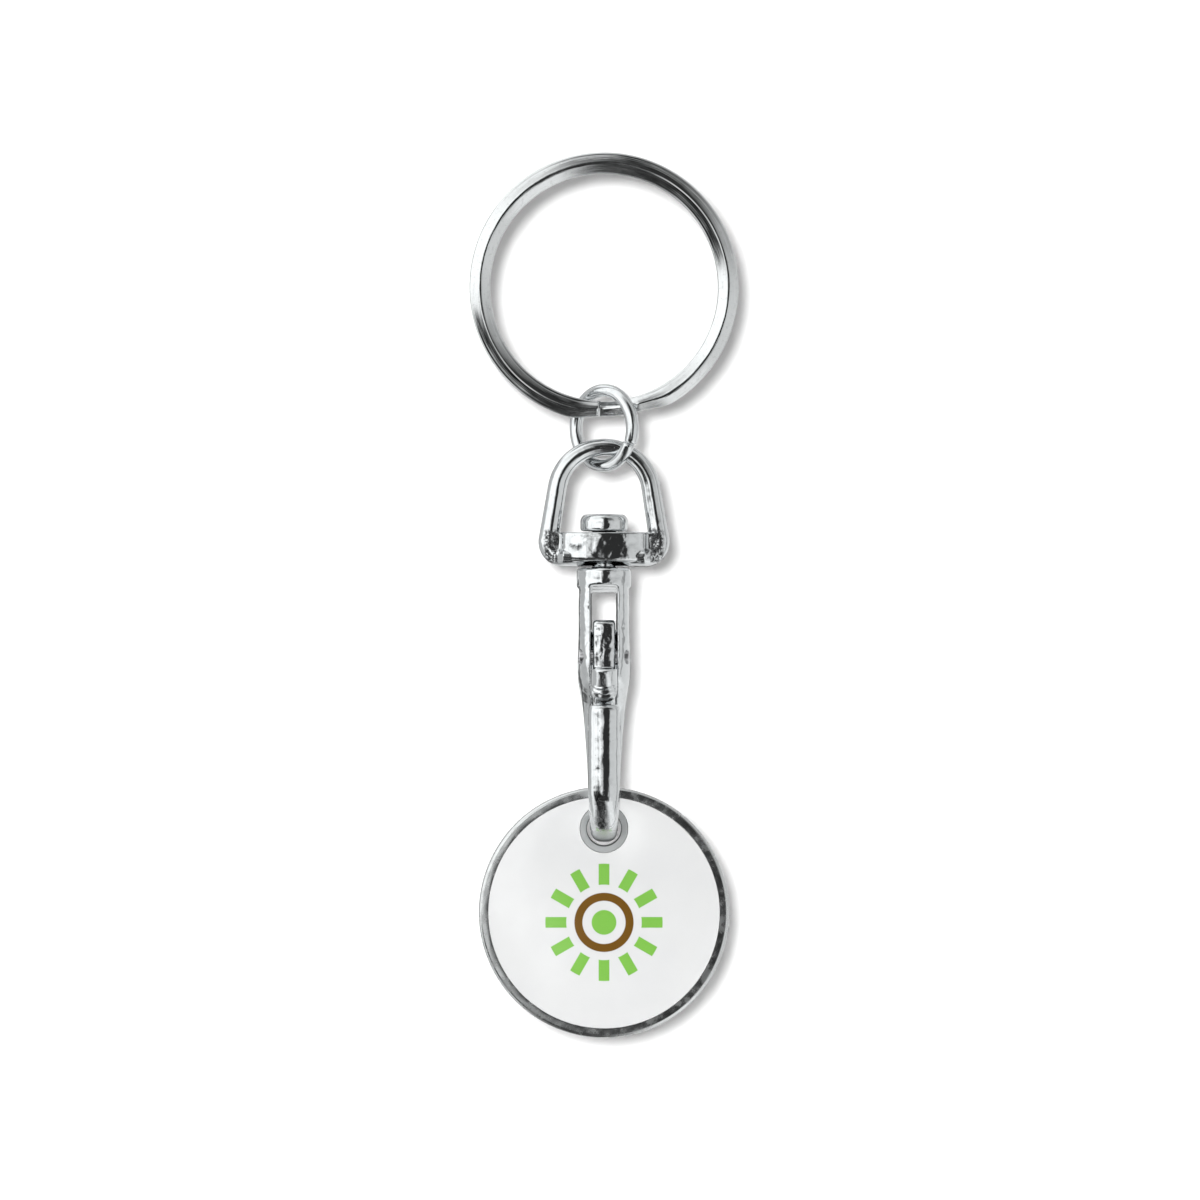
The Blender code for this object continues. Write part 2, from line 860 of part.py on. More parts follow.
def lever_pocket_shape():
    back = -lever_barrel_radius - cut_overrun
    points = arc((0.0, 0.0), pocket_radius, math.pi / 2, -math.pi / 4, 8)
    points.append((pocket_floor, -pocket_radius))
    points.append((pocket_floor, -pocket_length))
    points.append((back, -pocket_length))
    points.append((back, pocket_radius))
    outline = [beside_pin(forward, up) for forward, up in points]
    return extruded_across(outline, lambda y: pocket_width / 2)


# Gate spring


# The wire comes down from the slot's back wall, winds round the pin and goes on down the tongue.
def spring_points():
    half = spring_turns * spring_pitch / 2
    start = -spring_wall_angle
    end = -spring_tongue_angle - 2 * math.pi * spring_turns
    steps = spring_points_per_turn * spring_turns
    coil = []
    for step in range(steps + 1):
        share = step / steps
        angle = mix(start, end, share)
        across = mix(-half, half, share)
        back = spring_coil_radius * math.cos(angle)
        coil.append(Vector((across, back, spring_coil_radius * math.sin(angle))))
    come = Vector((0.0, math.sin(spring_wall_angle), math.cos(spring_wall_angle)))
    leave = Vector((0.0, -math.sin(spring_tongue_angle), -math.cos(spring_tongue_angle)))
    points = [coil[0] + come * spring_wall_leg] + coil
    points.append(coil[-1] + leave * spring_tongue_leg)
    return [pin_place + point for point in points]


def make_spring(axis):
    curve = bpy.data.curves.new("gate_spring", "CURVE")
    curve.dimensions = "3D"
    curve.bevel_depth = spring_wire / 2
    curve.bevel_resolution = 1
    curve.use_fill_caps = True
    points = [point - world_place(axis) for point in spring_points()]
    spline = curve.splines.new("POLY")
    spline.points.add(len(points) - 1)
    for place, point in zip(spline.points, points):
        place.co = (*point, 1.0)
    spring = bpy.data.objects.new("gate_spring", curve)
    spring.data.materials.append(make_material("gate_spring", steel_finish))
    spring.parent = axis
    bpy.context.collection.objects.link(spring)
    return spring


# Coin token


def facing(turned_shape):
    turn = Matrix.Rotation(math.pi / 2, 4, "X")
    bmesh.ops.transform(turned_shape, matrix=turn, verts=turned_shape.verts)
    return turned_shape


def coin_disc_shape():
    radius = coin_diameter / 2
    half = coin_thickness / 2
    corner = coin_edge * (1 - math.sqrt(0.5))
    profile = (
        (radius - coin_edge, -half),
        (radius - corner, -half + corner),
        (radius, -half + coin_edge),
        (radius, half - coin_edge),
        (radius - corner, half - corner),
        (radius - coin_edge, half),
    )
    shape = facing(turned(profile, Vector((0.0, 0.0, 0.0)), coin_steps))
    bmesh.ops.translate(shape, vec=coin_centre, verts=shape.verts)
    return shape


def coin_hole_shape():
    radius = coin_hole_diameter / 2
    half = coin_thickness / 2
    profile = (
        (radius + coin_hole_edge + cut_overrun, -half - cut_overrun),
        (radius, -half + coin_hole_edge),
        (radius, half - coin_hole_edge),
        (radius + coin_hole_edge + cut_overrun, half + cut_overrun),
    )
    shape = facing(turned(profile, Vector((0.0, 0.0, 0.0)), hole_steps))
    bmesh.ops.translate(shape, vec=hole_centre, verts=shape.verts)
    return shape


# A flat plate with the coin's round outline and its off-centre hole. Each level gives a depth and how
# far both edges draw in there.
def annular_plate(radius, hole_radius, levels):
    shape = bmesh.new()
    ends = ([], [])
    circles = (
        (radius, -1, coin_centre.z, coin_steps),
        (hole_radius, 1, hole_centre.z, hole_steps),
    )
    for size, sign, height, steps in circles:
        rings = []
        for depth, inset in levels:
            reach = size + sign * inset
            points = [(reach * x, depth, height + reach * y) for x, y in unit_circle(steps)]
            rings.append([shape.verts.new(point) for point in points])
        join_rings(shape, rings)
        for end, ring in zip(ends, (rings[0], rings[-1])):
            pairs = zip(ring, ring[1:] + ring[:1])
            end += [shape.edges.get(pair) for pair in pairs]
    for end in ends:
        bmesh.ops.triangle_fill(shape, edges=end, use_beauty=True)
    return shape


def coin_recess_shape(side):
    floor = side * (coin_thickness / 2 - coin_recess)
    beyond = side * (coin_thickness / 2 + cut_overrun)
    radius = coin_diameter / 2 - coin_rim_width
    return annular_plate(radius, coin_collar_diameter / 2, ((floor, 0.0), (beyond, 0.0)))


def coin_fill_shape(side):
    floor = coin_thickness / 2 - coin_recess + running_gap
    top = floor + fill_thickness
    radius = coin_diameter / 2 - coin_rim_width - running_gap
    hole_radius = coin_collar_diameter / 2 + running_gap
    levels = (
        (side * top, fill_edge),
        (side * (top - fill_edge), 0.0),
        (side * floor, 0.0),
    )
    return annular_plate(radius, hole_radius, levels)


# Assembly


def make_eye(axis):
    eye = make_piece("swivel_eye", eye_bow_shape(), cast_chrome_finish, axis)
    combine(eye, make_cutter("eye_web", eye_web_shape(), axis), "UNION")
    combine(eye, make_cutter("eye_block", eye_block_shape(), axis), "UNION")
    combine(eye, make_cutter("shank_bore", shank_bore_shape(), axis), "DIFFERENCE")


def make_hook(axis):
    hook = make_piece("hook_body", claw_shape(), cast_chrome_finish, axis)
    combine(hook, make_cutter("hook_stem", hook_stem_shape(), axis), "UNION")
    combine(hook, make_cutter("lever_slot", slot_shape(), axis), "DIFFERENCE")
    combine(hook, make_cutter("pin_bore", pin_bore_shape(), axis), "DIFFERENCE")
    make_piece("pivot_pin", pivot_pin_shape(), steel_finish, axis)


def make_lever(axis):
    lever = make_piece("gate_lever", bevelled_lever_shape(), cast_chrome_finish, axis)
    combine(lever, make_cutter("knob_pad", knob_shape(), axis), "UNION")
    combine(lever, make_cutter("spring_pocket", lever_pocket_shape(), axis), "DIFFERENCE")
    combine(lever, make_cutter("lever_bore", pin_bore_shape(), axis), "DIFFERENCE")


def make_coin(axis):
    coin = make_piece("coin_blank", coin_disc_shape(), coin_finish, axis)
    combine(coin, make_cutter("coin_hole", coin_hole_shape(), axis), "DIFFERENCE")
    for side, name in ((-1, "front"), (1, "back")):
        recess = make_cutter("recess_" + name, coin_recess_shape(side), axis)
        combine(coin, recess, "DIFFERENCE")
        make_piece("coin_face_" + name, coin_fill_shape(side), fill_finish, axis)


def make_keyring():
    clear_scene()
    hang = joint_axis("hang_point", Vector((0.0, 0.0, 0.0)))
    link = joint_axis("link_axis", Vector((0.0, 0.0, split_wire_height)), hang)
    eye_axis = joint_axis("eye_axis", jump_seat, link)
    swivel = joint_axis("swivel_axis", Vector((0.0, 0.0, collar_top)), eye_axis)
    gate_axis = joint_axis("gate_axis", pin_place, swivel)
    coin_axis = joint_axis("coin_axis", hole_centre, swivel)
    make_piece("split_ring", split_ring_shape(), chrome_finish, hang)
    make_piece("jump_ring", jump_ring_shape(), chrome_finish, link)
    make_eye(eye_axis)
    make_hook(swivel)
    make_lever(gate_axis)
    make_spring(swivel)
    make_coin(coin_axis)


make_keyring()
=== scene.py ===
import json
import bmesh
import bpy
from math import acos, asin, atan2, copysign, cos, hypot, pi, radians, sin, sqrt, tan
from mathutils import Matrix, Vector


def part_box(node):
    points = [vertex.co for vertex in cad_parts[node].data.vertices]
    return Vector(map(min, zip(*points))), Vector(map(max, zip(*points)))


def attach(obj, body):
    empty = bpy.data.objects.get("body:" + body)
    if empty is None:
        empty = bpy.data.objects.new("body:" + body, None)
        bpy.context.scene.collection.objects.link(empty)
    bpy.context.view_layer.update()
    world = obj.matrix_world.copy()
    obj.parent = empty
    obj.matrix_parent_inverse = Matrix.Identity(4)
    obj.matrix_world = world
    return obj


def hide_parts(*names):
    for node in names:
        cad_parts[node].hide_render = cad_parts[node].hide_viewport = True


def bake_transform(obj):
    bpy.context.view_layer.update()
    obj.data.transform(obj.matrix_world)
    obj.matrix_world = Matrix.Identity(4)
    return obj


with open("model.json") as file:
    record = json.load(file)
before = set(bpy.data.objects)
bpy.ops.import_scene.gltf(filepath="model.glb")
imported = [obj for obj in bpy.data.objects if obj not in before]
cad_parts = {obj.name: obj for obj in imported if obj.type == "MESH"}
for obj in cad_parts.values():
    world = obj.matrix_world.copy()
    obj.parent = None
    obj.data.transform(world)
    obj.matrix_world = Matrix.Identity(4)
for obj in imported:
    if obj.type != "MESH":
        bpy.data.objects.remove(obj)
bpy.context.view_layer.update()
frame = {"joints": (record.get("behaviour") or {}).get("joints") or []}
print("frame loaded")

# Lengths here are in millimetres; every finished mesh is scaled to metres.
toMetres = 0.001
# how far a cutting shape reaches past what it cuts
overrun = 1.0
backward = Vector((0.0, 1.0, 0.0))
jointAt = {joint["name"]: Vector(joint["pos_m"]) / toMetres for joint in frame["joints"]}


def cadBoxOf(node):
    low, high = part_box(node)
    return low / toMetres, high / toMetres


def mix(low, high, share):
    return low + (high - low) * share


def fromAxis(x, z):
    return (x * x + z * z) ** 0.5


# shader maths
def operator(operation, flipped=False):
    def apply(first, second=0.0):
        pair = (second, first) if flipped else (first, second)
        return first.kit.maths(operation, *pair)

    return apply


class Wire:
    # a node's output that can be used in sums
    def __init__(self, kit, socket):
        self.kit = kit
        self.socket = socket

    __add__ = __radd__ = operator("ADD")
    __sub__ = operator("SUBTRACT")
    __rsub__ = operator("SUBTRACT", flipped=True)
    __mul__ = __rmul__ = operator("MULTIPLY")
    __truediv__ = operator("DIVIDE")
    __pow__ = operator("POWER")
    __abs__ = operator("ABSOLUTE")


class NodeKit:
    def __init__(self, owner):
        owner.use_nodes = True
        self.tree = owner.node_tree
        self.tree.nodes.clear()

    def node(self, kind, settings=None, inputs=None, output=0):
        made = self.tree.nodes.new(kind)
        for key, value in (settings or {}).items():
            setattr(made, key, value)
        for key, value in (inputs or {}).items():
            if isinstance(value, Wire):
                self.tree.links.new(value.socket, made.inputs[key])
            else:
                made.inputs[key].default_value = value
        return Wire(self, made.outputs[output]) if len(made.outputs) else None

    def maths(self, operation, first, second=0.0):
        return self.node("ShaderNodeMath", {"operation": operation}, {0: first, 1: second})

    def vectorMaths(self, operation, first, second):
        return self.node("ShaderNodeVectorMath", {"operation": operation}, {0: first, 1: second})

    def place(self):
        # object coordinates in millimetres
        scale = 1.0 / toMetres
        coords = self.node("ShaderNodeTexCoord", output="Object")
        return self.vectorMaths("MULTIPLY", coords, (scale, scale, scale))

    def moved(self, vector, offset):
        return self.vectorMaths("SUBTRACT", vector, offset)

    def split(self, vector):
        return [self.node("ShaderNodeSeparateXYZ", inputs={0: vector}, output=axis) for axis in (0, 1, 2)]

    def joined(self, x, y, z):
        return self.node("ShaderNodeCombineXYZ", inputs={0: x, 1: y, 2: z})

    def noise(self, vector, scale, detail, roughness=0.55, distortion=0.0):
        inputs = dict(Vector=vector, Scale=scale, Detail=detail, Roughness=roughness, Distortion=distortion)
        return self.node("ShaderNodeTexNoise", inputs=inputs)

    def degrees(self, first, second):
        return self.maths("ARCTAN2", first, second) * (180 / pi)

    def step(self, value, low, high):
        # 0 below low, 1 above high, soft between
        span = {"Value": value, "From Min": low, "From Max": high}
        return self.node("ShaderNodeMapRange", {"interpolation_type": "SMOOTHSTEP"}, span)

    def patches(self, vector, noise, span):
        # 1 where the noise is high
        return self.step(self.noise(vector, *noise), *span)

    def fade(self, value, low, high):
        # 1 below low, 0 above high, soft between
        return 1.0 - self.step(value, low, high)

    def band(self, value, low, high, soft):
        # 1 between low and high
        return self.step(value, low - soft, low + soft) * self.fade(value, high - soft, high + soft)

    def blend(self, factor, first, second):
        return self.node("ShaderNodeMix", {"data_type": "FLOAT"}, {0: factor, 2: first, 3: second})

    def tint(self, factor, first, second):
        inputs = {0: factor, 6: first, 7: second}
        return self.node("ShaderNodeMix", {"data_type": "RGBA"}, inputs, output=2)

    def bump(self, height, strength, distance, normal=None):
        inputs = dict(Height=height, Strength=strength, Distance=distance * toMetres)
        if normal:
            inputs["Normal"] = normal
        return self.node("ShaderNodeBump", inputs=inputs)

    def surface(self, values):
        shader = self.node("ShaderNodeBsdfPrincipled", inputs=values)
        self.node("ShaderNodeOutputMaterial", inputs={0: shader})

    def metal(self, tone, tint, rough, normal):
        shade = self.joined(*[tone * share for share in tint])
        self.surface({"Base Color": shade, "Metallic": 1.0, "Roughness": rough, "Normal": normal})


def colour(tones, spread=1.0):
    return (*[tone * spread for tone in tones], 1.0)


def startMaterial(name):
    material = bpy.data.materials.new(name)
    kit = NodeKit(material)
    return material, kit, kit.place()


# finishes
# A noise is scale, detail, roughness and distortion; a span is where a soft step begins and ends.
# Patches are a noise and its span; rough is the least and the most; a bump is strength and depth.
stripLook = dict(
    tone=0.74, tint=(0.985, 1.0, 1.005), rough=(0.06, 0.17), roughSpan=(0.38, 0.7),
    linesOut=5.0, linesDeep=5.0, along=0.35, lineNoise=(1.0, 2.0), lineShare=0.4,
    lineBump=(0.5, 0.03), blotchNoise=(0.5, 4.0), blotchShare=0.6,
    worn=((3.2, 5.0, 0.6), (0.52, 0.78)), wornTone=0.1,
)
castLook = dict(
    tone=0.73, tint=(0.98, 1.0, 1.01), rough=(0.04, 0.12), roughSpan=(0.4, 0.75),
    wave=0.8, waveNoise=(1.5, 0.4, 0.3), waveDepth=0.13, ripple=0.035, rippleNoise=(3.1, 3.0, 0.5),
    hazeNoise=(1.3, 4.0), hazeSpan=(0.5, 0.72), hazeTone=0.05,
    unevenAt=-38.0, unevenReach=6.5, unevenSoft=2.0, calmShare=0.45,
    pitNoise=(4.5, 2.0, 0.5), pitsFrom=0.68, pitSoft=0.07, pitTone=0.14, pitRough=0.16, pitBump=(0.6, 0.005),
)
linkLook = dict(castLook, seed=3.0, calmShare=0.3, pitsFrom=0.74)
eyeLook = dict(castLook, seed=11.0, unevenAt=-35.2, unevenReach=1.8, calmShare=0.25, pitsFrom=0.7)
# painted shade for the sunk corners beside the block; they are also made rougher
eyeLook["recess"] = dict(
    inner=(4.2, 4.4), outer=(5.35, 5.7), middle=-34.7, reach=(1.35, 1.65),
    grain=((4.5, 3.0, 0.6), (0.36, 0.6)), tone=0.07, rough=0.4,
)
leverLook = dict(castLook, seed=37.0, wave=1.1, waveDepth=0.14, unevenAt=-42.6, unevenReach=1.6)
leverLook["calmShare"] = 0.2
satinLook = dict(
    tone=0.72, tint=(0.985, 1.0, 1.0), rough=(0.13, 0.36), roughSpan=(0.35, 0.7),
    linesOut=14.0, linesDeep=9.0, along=0.4, lineNoise=(1.0, 3.0), lineHeight=0.6,
    lineBump=(0.6, 0.0015), blotchNoise=(0.8, 4.0), blotchTone=0.05,
    nicks=((2.6, 4.0, 0.65), (0.63, 0.72)), nickTone=0.12, nickRough=0.1, nickHeight=0.8,
    # the bore's tone is painted shade on the hole's wall
    holeSpan=(2.7, 3.1), holeRough=0.66, holeTone=0.9, boreSpan=(1.64, 1.69), boreShadeTone=0.3,
)
steelLook = dict(
    tone=0.62, tint=(1.0, 1.0, 1.02), rough=(0.2, 0.38), blotchNoise=(1.6, 4.0),
    blotchSpan=(0.45, 0.7), blotchTone=0.12, fineNoise=(9.0, 3.0), fineBump=(0.5, 0.002),
)
fillLook = dict(
    white=(0.555, 0.56, 0.56), shade=(0.543, 0.548, 0.551), clouds=((0.18, 2.0), (0.4, 0.66)),
    roughness=0.07, smears=((1.1, 4.0), (0.45, 0.75)), smearRough=0.05,
    domeNoise=(0.32, 1.0), domeBump=(0.5, 0.05), coat=0.35, coatRough=0.03,
)
printLook = dict(
    green=(0.156, 0.37, 0.059), greenSpread=1.06, brown=(0.116, 0.055, 0.0078), brownSpread=1.12,
    inkNoise=(6.0, 3.0), inkRough=0.06, inkHeight=0.02, centreDrop=0.9, disc=1.15,
    ringInner=2.0, ringOuter=2.75, barInner=3.5, barOuter=5.45, barHalfWidth=0.5, bars=12, soft=0.035,
)


def turnedLines(kit, place, centre, look):
    # fine lines that run round the centre
    x, y, z = kit.split(kit.moved(place, centre))
    along = x * look["along"] + z * look["along"]
    lines = kit.joined(fromAxis(x, z) * look["linesOut"], y * look["linesDeep"], along)
    return kit.noise(lines, *look["lineNoise"])


def stripMetal(name, centre, look):
    # plated strip: fine rolling lines run round the ring
    material, kit, place = startMaterial(name)
    lines = turnedLines(kit, place, centre, look)
    blotch = kit.noise(place, *look["blotchNoise"])
    tone = look["tone"] - look["wornTone"] * kit.patches(place, *look["worn"])
    uneven = blotch * look["blotchShare"] + lines * look["lineShare"]
    rough = mix(*look["rough"], kit.step(uneven, *look["roughSpan"]))
    kit.metal(tone, look["tint"], rough, kit.bump(lines, *look["lineBump"]))
    return material


def castMetal(name, look):
    # bright plating over a die casting: slightly uneven, with small pits
    material, kit, place = startMaterial(name)
    shifted = kit.moved(place, (look["seed"], look["seed"] * 2.0, -look["seed"]))
    wave = kit.noise(shifted, look["wave"], *look["waveNoise"])
    ripple = kit.noise(shifted, *look["rippleNoise"])
    pits = kit.noise(shifted, *look["pitNoise"])
    pits = kit.step(pits, look["pitsFrom"], look["pitsFrom"] + look["pitSoft"])
    haze = kit.noise(place, *look["hazeNoise"])
    tone = look["tone"] - look["pitTone"] * pits - look["hazeTone"] * kit.step(haze, *look["hazeSpan"])
    rough = mix(*look["rough"], kit.step(haze, *look["roughSpan"])) + look["pitRough"] * pits
    sideways, inward, upward = kit.split(place)
    reach = look["unevenReach"]
    uneven = kit.fade(abs(upward - look["unevenAt"]), reach, reach + look["unevenSoft"])
    height = (wave + ripple * look["ripple"]) * kit.blend(uneven, look["calmShare"], 1.0)
    if "recess" in look:
        # the sunk corners beside the block get painted shade, a near-black grainy tone, and are also rougher
        sunkShade = look["recess"]
        cornerShadeMask = kit.step(abs(sideways), *sunkShade["inner"]) * kit.fade(abs(sideways), *sunkShade["outer"])
        cornerShadeMask = cornerShadeMask * kit.fade(abs(upward - sunkShade["middle"]), *sunkShade["reach"])
        cornerShadeMask = cornerShadeMask * kit.patches(place, *sunkShade["grain"])
        tone = kit.blend(cornerShadeMask, tone, sunkShade["tone"])
        rough = rough + sunkShade["rough"] * cornerShadeMask
    if "dull" in look:
        # the token wears the underside of the bend
        rough = rough + look["dull"]["rough"] * kit.fade(upward, *look["dull"]["span"])
    soft = kit.bump(height, 1.0, look["waveDepth"])
    kit.metal(tone, look["tint"], rough, kit.bump(1.0 - pits, *look["pitBump"], soft))
    return material


def satinMetal(name, centre, holeCentre, look):
    # struck and tumbled nickel: finely turned round the rim, duller round the hole, with painted shade on
    # the bore's wall
    material, kit, place = startMaterial(name)
    lines = turnedLines(kit, place, centre, look)
    blotch = kit.noise(place, *look["blotchNoise"])
    nicks = kit.patches(place, *look["nicks"])
    tone = look["tone"] - look["nickTone"] * nicks - look["blotchTone"] * blotch
    rough = mix(*look["rough"], kit.step(blotch, *look["roughSpan"])) + look["nickRough"] * nicks
    x, y, z = kit.split(kit.moved(place, holeCentre))
    fromHole = fromAxis(x, z)
    away = kit.step(fromHole, *look["holeSpan"])
    rough = kit.blend(away, look["holeRough"], rough)
    tone = kit.blend(away, look["holeTone"], tone)
    # painted shade: the wall of the hole is darkened
    tone = kit.blend(kit.step(fromHole, *look["boreSpan"]), look["boreShadeTone"], tone)
    height = lines * look["lineHeight"] + (1.0 - nicks) * look["nickHeight"]
    kit.metal(tone, look["tint"], rough, kit.bump(height, *look["lineBump"]))
    return material


def plainSteel(name, look):
    material, kit, place = startMaterial(name)
    fine = kit.noise(place, *look["fineNoise"])
    blotch = kit.noise(place, *look["blotchNoise"])
    tone = look["tone"] - look["blotchTone"] * kit.step(blotch, *look["blotchSpan"])
    normal = kit.bump(fine, *look["fineBump"])
    kit.metal(tone, look["tint"], mix(*look["rough"], blotch), normal)
    return material


def printedFill(name, centre, look, mark):
    # glossy white fill with a small ray-and-ring print
    material, kit, place = startMaterial(name)
    x, y, z = kit.split(kit.moved(place, centre - Vector((0.0, 0.0, mark["centreDrop"]))))
    radius = fromAxis(x, z)
    soft = mark["soft"]
    halfBay = pi / mark["bars"]
    swing = kit.maths("PINGPONG", kit.maths("ARCTAN2", z, x) / halfBay, 1.0) * halfBay
    across = radius * kit.maths("SINE", swing)
    inBar = kit.fade(across, mark["barHalfWidth"] - soft, mark["barHalfWidth"] + soft)
    disc = kit.fade(radius, mark["disc"] - soft, mark["disc"] + soft)
    green = inBar * kit.band(radius, mark["barInner"], mark["barOuter"], soft) + disc
    ring = kit.band(radius, mark["ringInner"], mark["ringOuter"], soft)
    ink = kit.noise(place, *mark["inkNoise"])
    shade = kit.tint(kit.patches(place, *look["clouds"]), colour(look["white"]), colour(look["shade"]))
    for cover, paint in ((green, "green"), (ring, "brown")):
        inked = kit.tint(ink, colour(mark[paint]), colour(mark[paint], mark[paint + "Spread"]))
        shade = kit.tint(cover, shade, inked)
    rough = look["roughness"] + look["smearRough"] * kit.patches(place, *look["smears"])
    rough = rough + mark["inkRough"] * (green + ring)
    height = kit.noise(place, *look["domeNoise"]) + (green + ring) * mark["inkHeight"]
    normal = kit.bump(height, *look["domeBump"])
    coat = {"Coat Weight": look["coat"], "Coat Roughness": look["coatRough"]}
    kit.surface({"Base Color": shade, "Roughness": rough, "Normal": normal, **coat})
    return material


# mesh tools
def smoothStep(share):
    share = min(max(share, 0.0), 1.0)
    return share * share * (3 - 2 * share)


def circle(count):
    angles = [2 * pi * step / count for step in range(count)]
    return [(cos(angle), sin(angle)) for angle in angles]


def roundedOutline(count, upperPower, lowerPower):
    # 2 is round, more is boxy, less is pointed
    points = []
    for across, up in circle(count):
        power = 2 / (upperPower if up > 0 else lowerPower)
        points.append((copysign(abs(across) ** power, across), copysign(abs(up) ** power, up)))
    return points


def joinLoops(shape, pairs):
    for near, far in pairs:
        for here, corner in enumerate(near):
            after = (here + 1) % len(near)
            shape.faces.new((corner, near[after], far[after], far[here]))


def skin(rings, closed=False):
    shape = bmesh.new()
    loops = [[shape.verts.new(point) for point in ring] for ring in rings]
    joinLoops(shape, zip(loops, loops[1:]))
    if closed:
        joinLoops(shape, [(loops[-1], loops[0])])
    else:
        shape.faces.new(tuple(reversed(loops[0])))
        shape.faces.new(tuple(loops[-1]))
    bmesh.ops.recalc_face_normals(shape, faces=shape.faces)
    return shape


def mirrored(profile):
    return [(reach, -height) for reach, height in profile] + list(reversed(profile))


def lathe(profile, centre, count, turn=Matrix()):
    section = circle(count)
    shape = skin([[(radius * x, radius * y, height) for x, y in section] for radius, height in profile])
    bmesh.ops.transform(shape, matrix=Matrix.Translation(centre) @ turn, verts=shape.verts)
    return shape


def plate(outline, halfWidthAt):
    left = [Vector((-halfWidthAt(y), y, z)) for y, z in outline]
    right = [Vector((halfWidthAt(y), y, z)) for y, z in outline]
    return skin([left, right])


def oval(middle, outward, across, width, height, count):
    return [middle + outward * (x * width) + across * (y * height) for x, y in circle(count)]


def shares(count):
    return [step / count for step in range(count + 1)]


def arc(centre, radius, start, end, steps):
    angles = [mix(start, end, share) for share in shares(steps)]
    return [(centre[0] + radius * cos(angle), centre[1] + radius * sin(angle)) for angle in angles]


def addObject(name, data):
    made = bpy.data.objects.new(name, data)
    bpy.context.scene.collection.objects.link(made)
    return made


def plainMesh(name, shape):
    mesh = bpy.data.meshes.new(name)
    shape.to_mesh(mesh)
    shape.free()
    return mesh


def finishPiece(name, shape, material, body, node, bend=None, sharpAngle=None):
    mesh = plainMesh(name, shape) if isinstance(shape, bmesh.types.BMesh) else shape
    mesh.transform(Matrix.Scale(toMetres, 4))
    mesh.materials.clear()
    mesh.materials.append(material)
    mesh.shade_smooth()
    if sharpAngle:
        mesh.set_sharp_from_angle(angle=sharpAngle)
    piece = addObject(name, mesh)
    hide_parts(node)
    if bend:
        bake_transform(piece)
    else:
        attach(piece, body)
    print("made", name, len(mesh.polygons), "faces")


def joinedSolid(name, parts, cuts, tools=()):
    # adds the parts, takes the cuts away, then runs the further modifiers
    solid = addObject(name, plainMesh(name, parts[0]))
    helpers = []
    for operation, shapes in (("UNION", parts[1:]), ("DIFFERENCE", cuts)):
        for shape in shapes:
            helpers.append(addObject(name + "Helper", plainMesh(name + "Helper", shape)))
            boolean = solid.modifiers.new(operation, "BOOLEAN")
            boolean.operation = operation
            boolean.solver = "EXACT"
            boolean.object = helpers[-1]
    for kind, settings in tools:
        modifier = solid.modifiers.new(kind, kind)
        for key, value in settings.items():
            setattr(modifier, key, value)
    evaluated = solid.evaluated_get(bpy.context.evaluated_depsgraph_get())
    result = bpy.data.meshes.new_from_object(evaluated)
    for item in [solid] + helpers:
        data = item.data
        bpy.data.objects.remove(item, do_unlink=True)
        bpy.data.meshes.remove(data)
    return result


def castTools(part):
    # closes the joints of a casting with small fillets
    return (
        ("REMESH", {"mode": "VOXEL", "voxel_size": part["voxel"], "use_smooth_shade": True}),
        ("SMOOTH", {"factor": 0.5, "iterations": part["smoothing"]}),
    )


# split ring
splitRing = dict(
    innerRadius=10.6, stripWidth=1.9, stripThickness=0.96, turnGap=0.1,
    crossing=3.7, crossingOffset=1.6, endGap=0.12, trim=0.5, trimRun=3.0,
    ridgeRound=0.36, bevelDrop=0.6, bevelShare=0.76, turnSteps=200, crossSteps=40,
    bevelPlaces=(0.0, 0.03, 0.06, 0.1, 0.15, 0.22, 0.32, 0.45, 0.6, 0.78, 0.92, 1.0),
    edgeFrom=0.46, edgeAngles=(0.65, 0.9, 1.15, 1.35),
)
ringCentre = Vector((0.0, 0.0, -splitRing["innerRadius"]))


def stripSection(part):
    # a rounded ridge, a straight bevel and a small rounded edge, mirrored both ways
    soft = part["ridgeRound"]
    reach = part["bevelShare"]
    slope = part["bevelDrop"] / (hypot(reach, soft) - soft)
    half = [share * reach for share in part["bevelPlaces"]]
    quarter = [(across, 1 - slope * (hypot(across, soft) - soft)) for across in half]
    foot = quarter[-1][1]
    start = part["edgeFrom"]
    for angle in part["edgeAngles"]:
        share = (sin(angle) - sin(start)) / (1 - sin(start))
        quarter.append((mix(reach, 1.0, share), foot * cos(angle) / cos(start)))
    right = quarter + [(1.0, 0.0)] + [(across, -up) for across, up in reversed(quarter)]
    return right + [(-across, up) for across, up in reversed(right[1:-1])]


def buildSplitRing(part):
    inner = part["innerRadius"]
    outer = inner + part["stripWidth"]
    midRadius = (inner + outer) / 2
    halfCross = part["crossing"] / midRadius / 2
    lead = halfCross + part["endGap"] / midRadius
    middle = part["crossingOffset"] / midRadius
    layer = (part["stripThickness"] + part["turnGap"]) / 2
    turn = 2 * pi
    stops = (-lead, -(turn - halfCross), -(turn + halfCross), -(2 * turn - lead))
    counts = (part["turnSteps"], part["crossSteps"], part["turnSteps"])
    angles = []
    for start, end, steps in zip(stops, stops[1:], counts):
        angles += [mix(start, end, share) for share in shares(steps)[:-1]]
    angles.append(stops[-1])
    section = stripSection(part)
    rings = []
    for angle in angles:
        crossed = (-angle - (turn - halfCross)) / (2 * halfCross)
        depth = mix(-layer, layer, smoothStep(crossed))
        around = abs((angle + pi) % turn - pi)
        trimmed = part["trim"] * (1 - smoothStep((around - halfCross) * midRadius / part["trimRun"]))
        halfWidth = (outer - trimmed - inner) / 2
        outward = Vector((sin(middle + angle), 0.0, -cos(middle + angle)))
        ring = []
        for across, up in section:
            point = ringCentre + outward * (inner + halfWidth * (1 + across))
            point.y = depth - up * part["stripThickness"] / 2
            ring.append(point)
        rings.append(ring)
    return skin(rings)


ringMetal = stripMetal("rolledStrip", ringCentre, stripLook)
finishPiece("splitRing", buildSplitRing(splitRing), ringMetal, "ring", "split_ring")

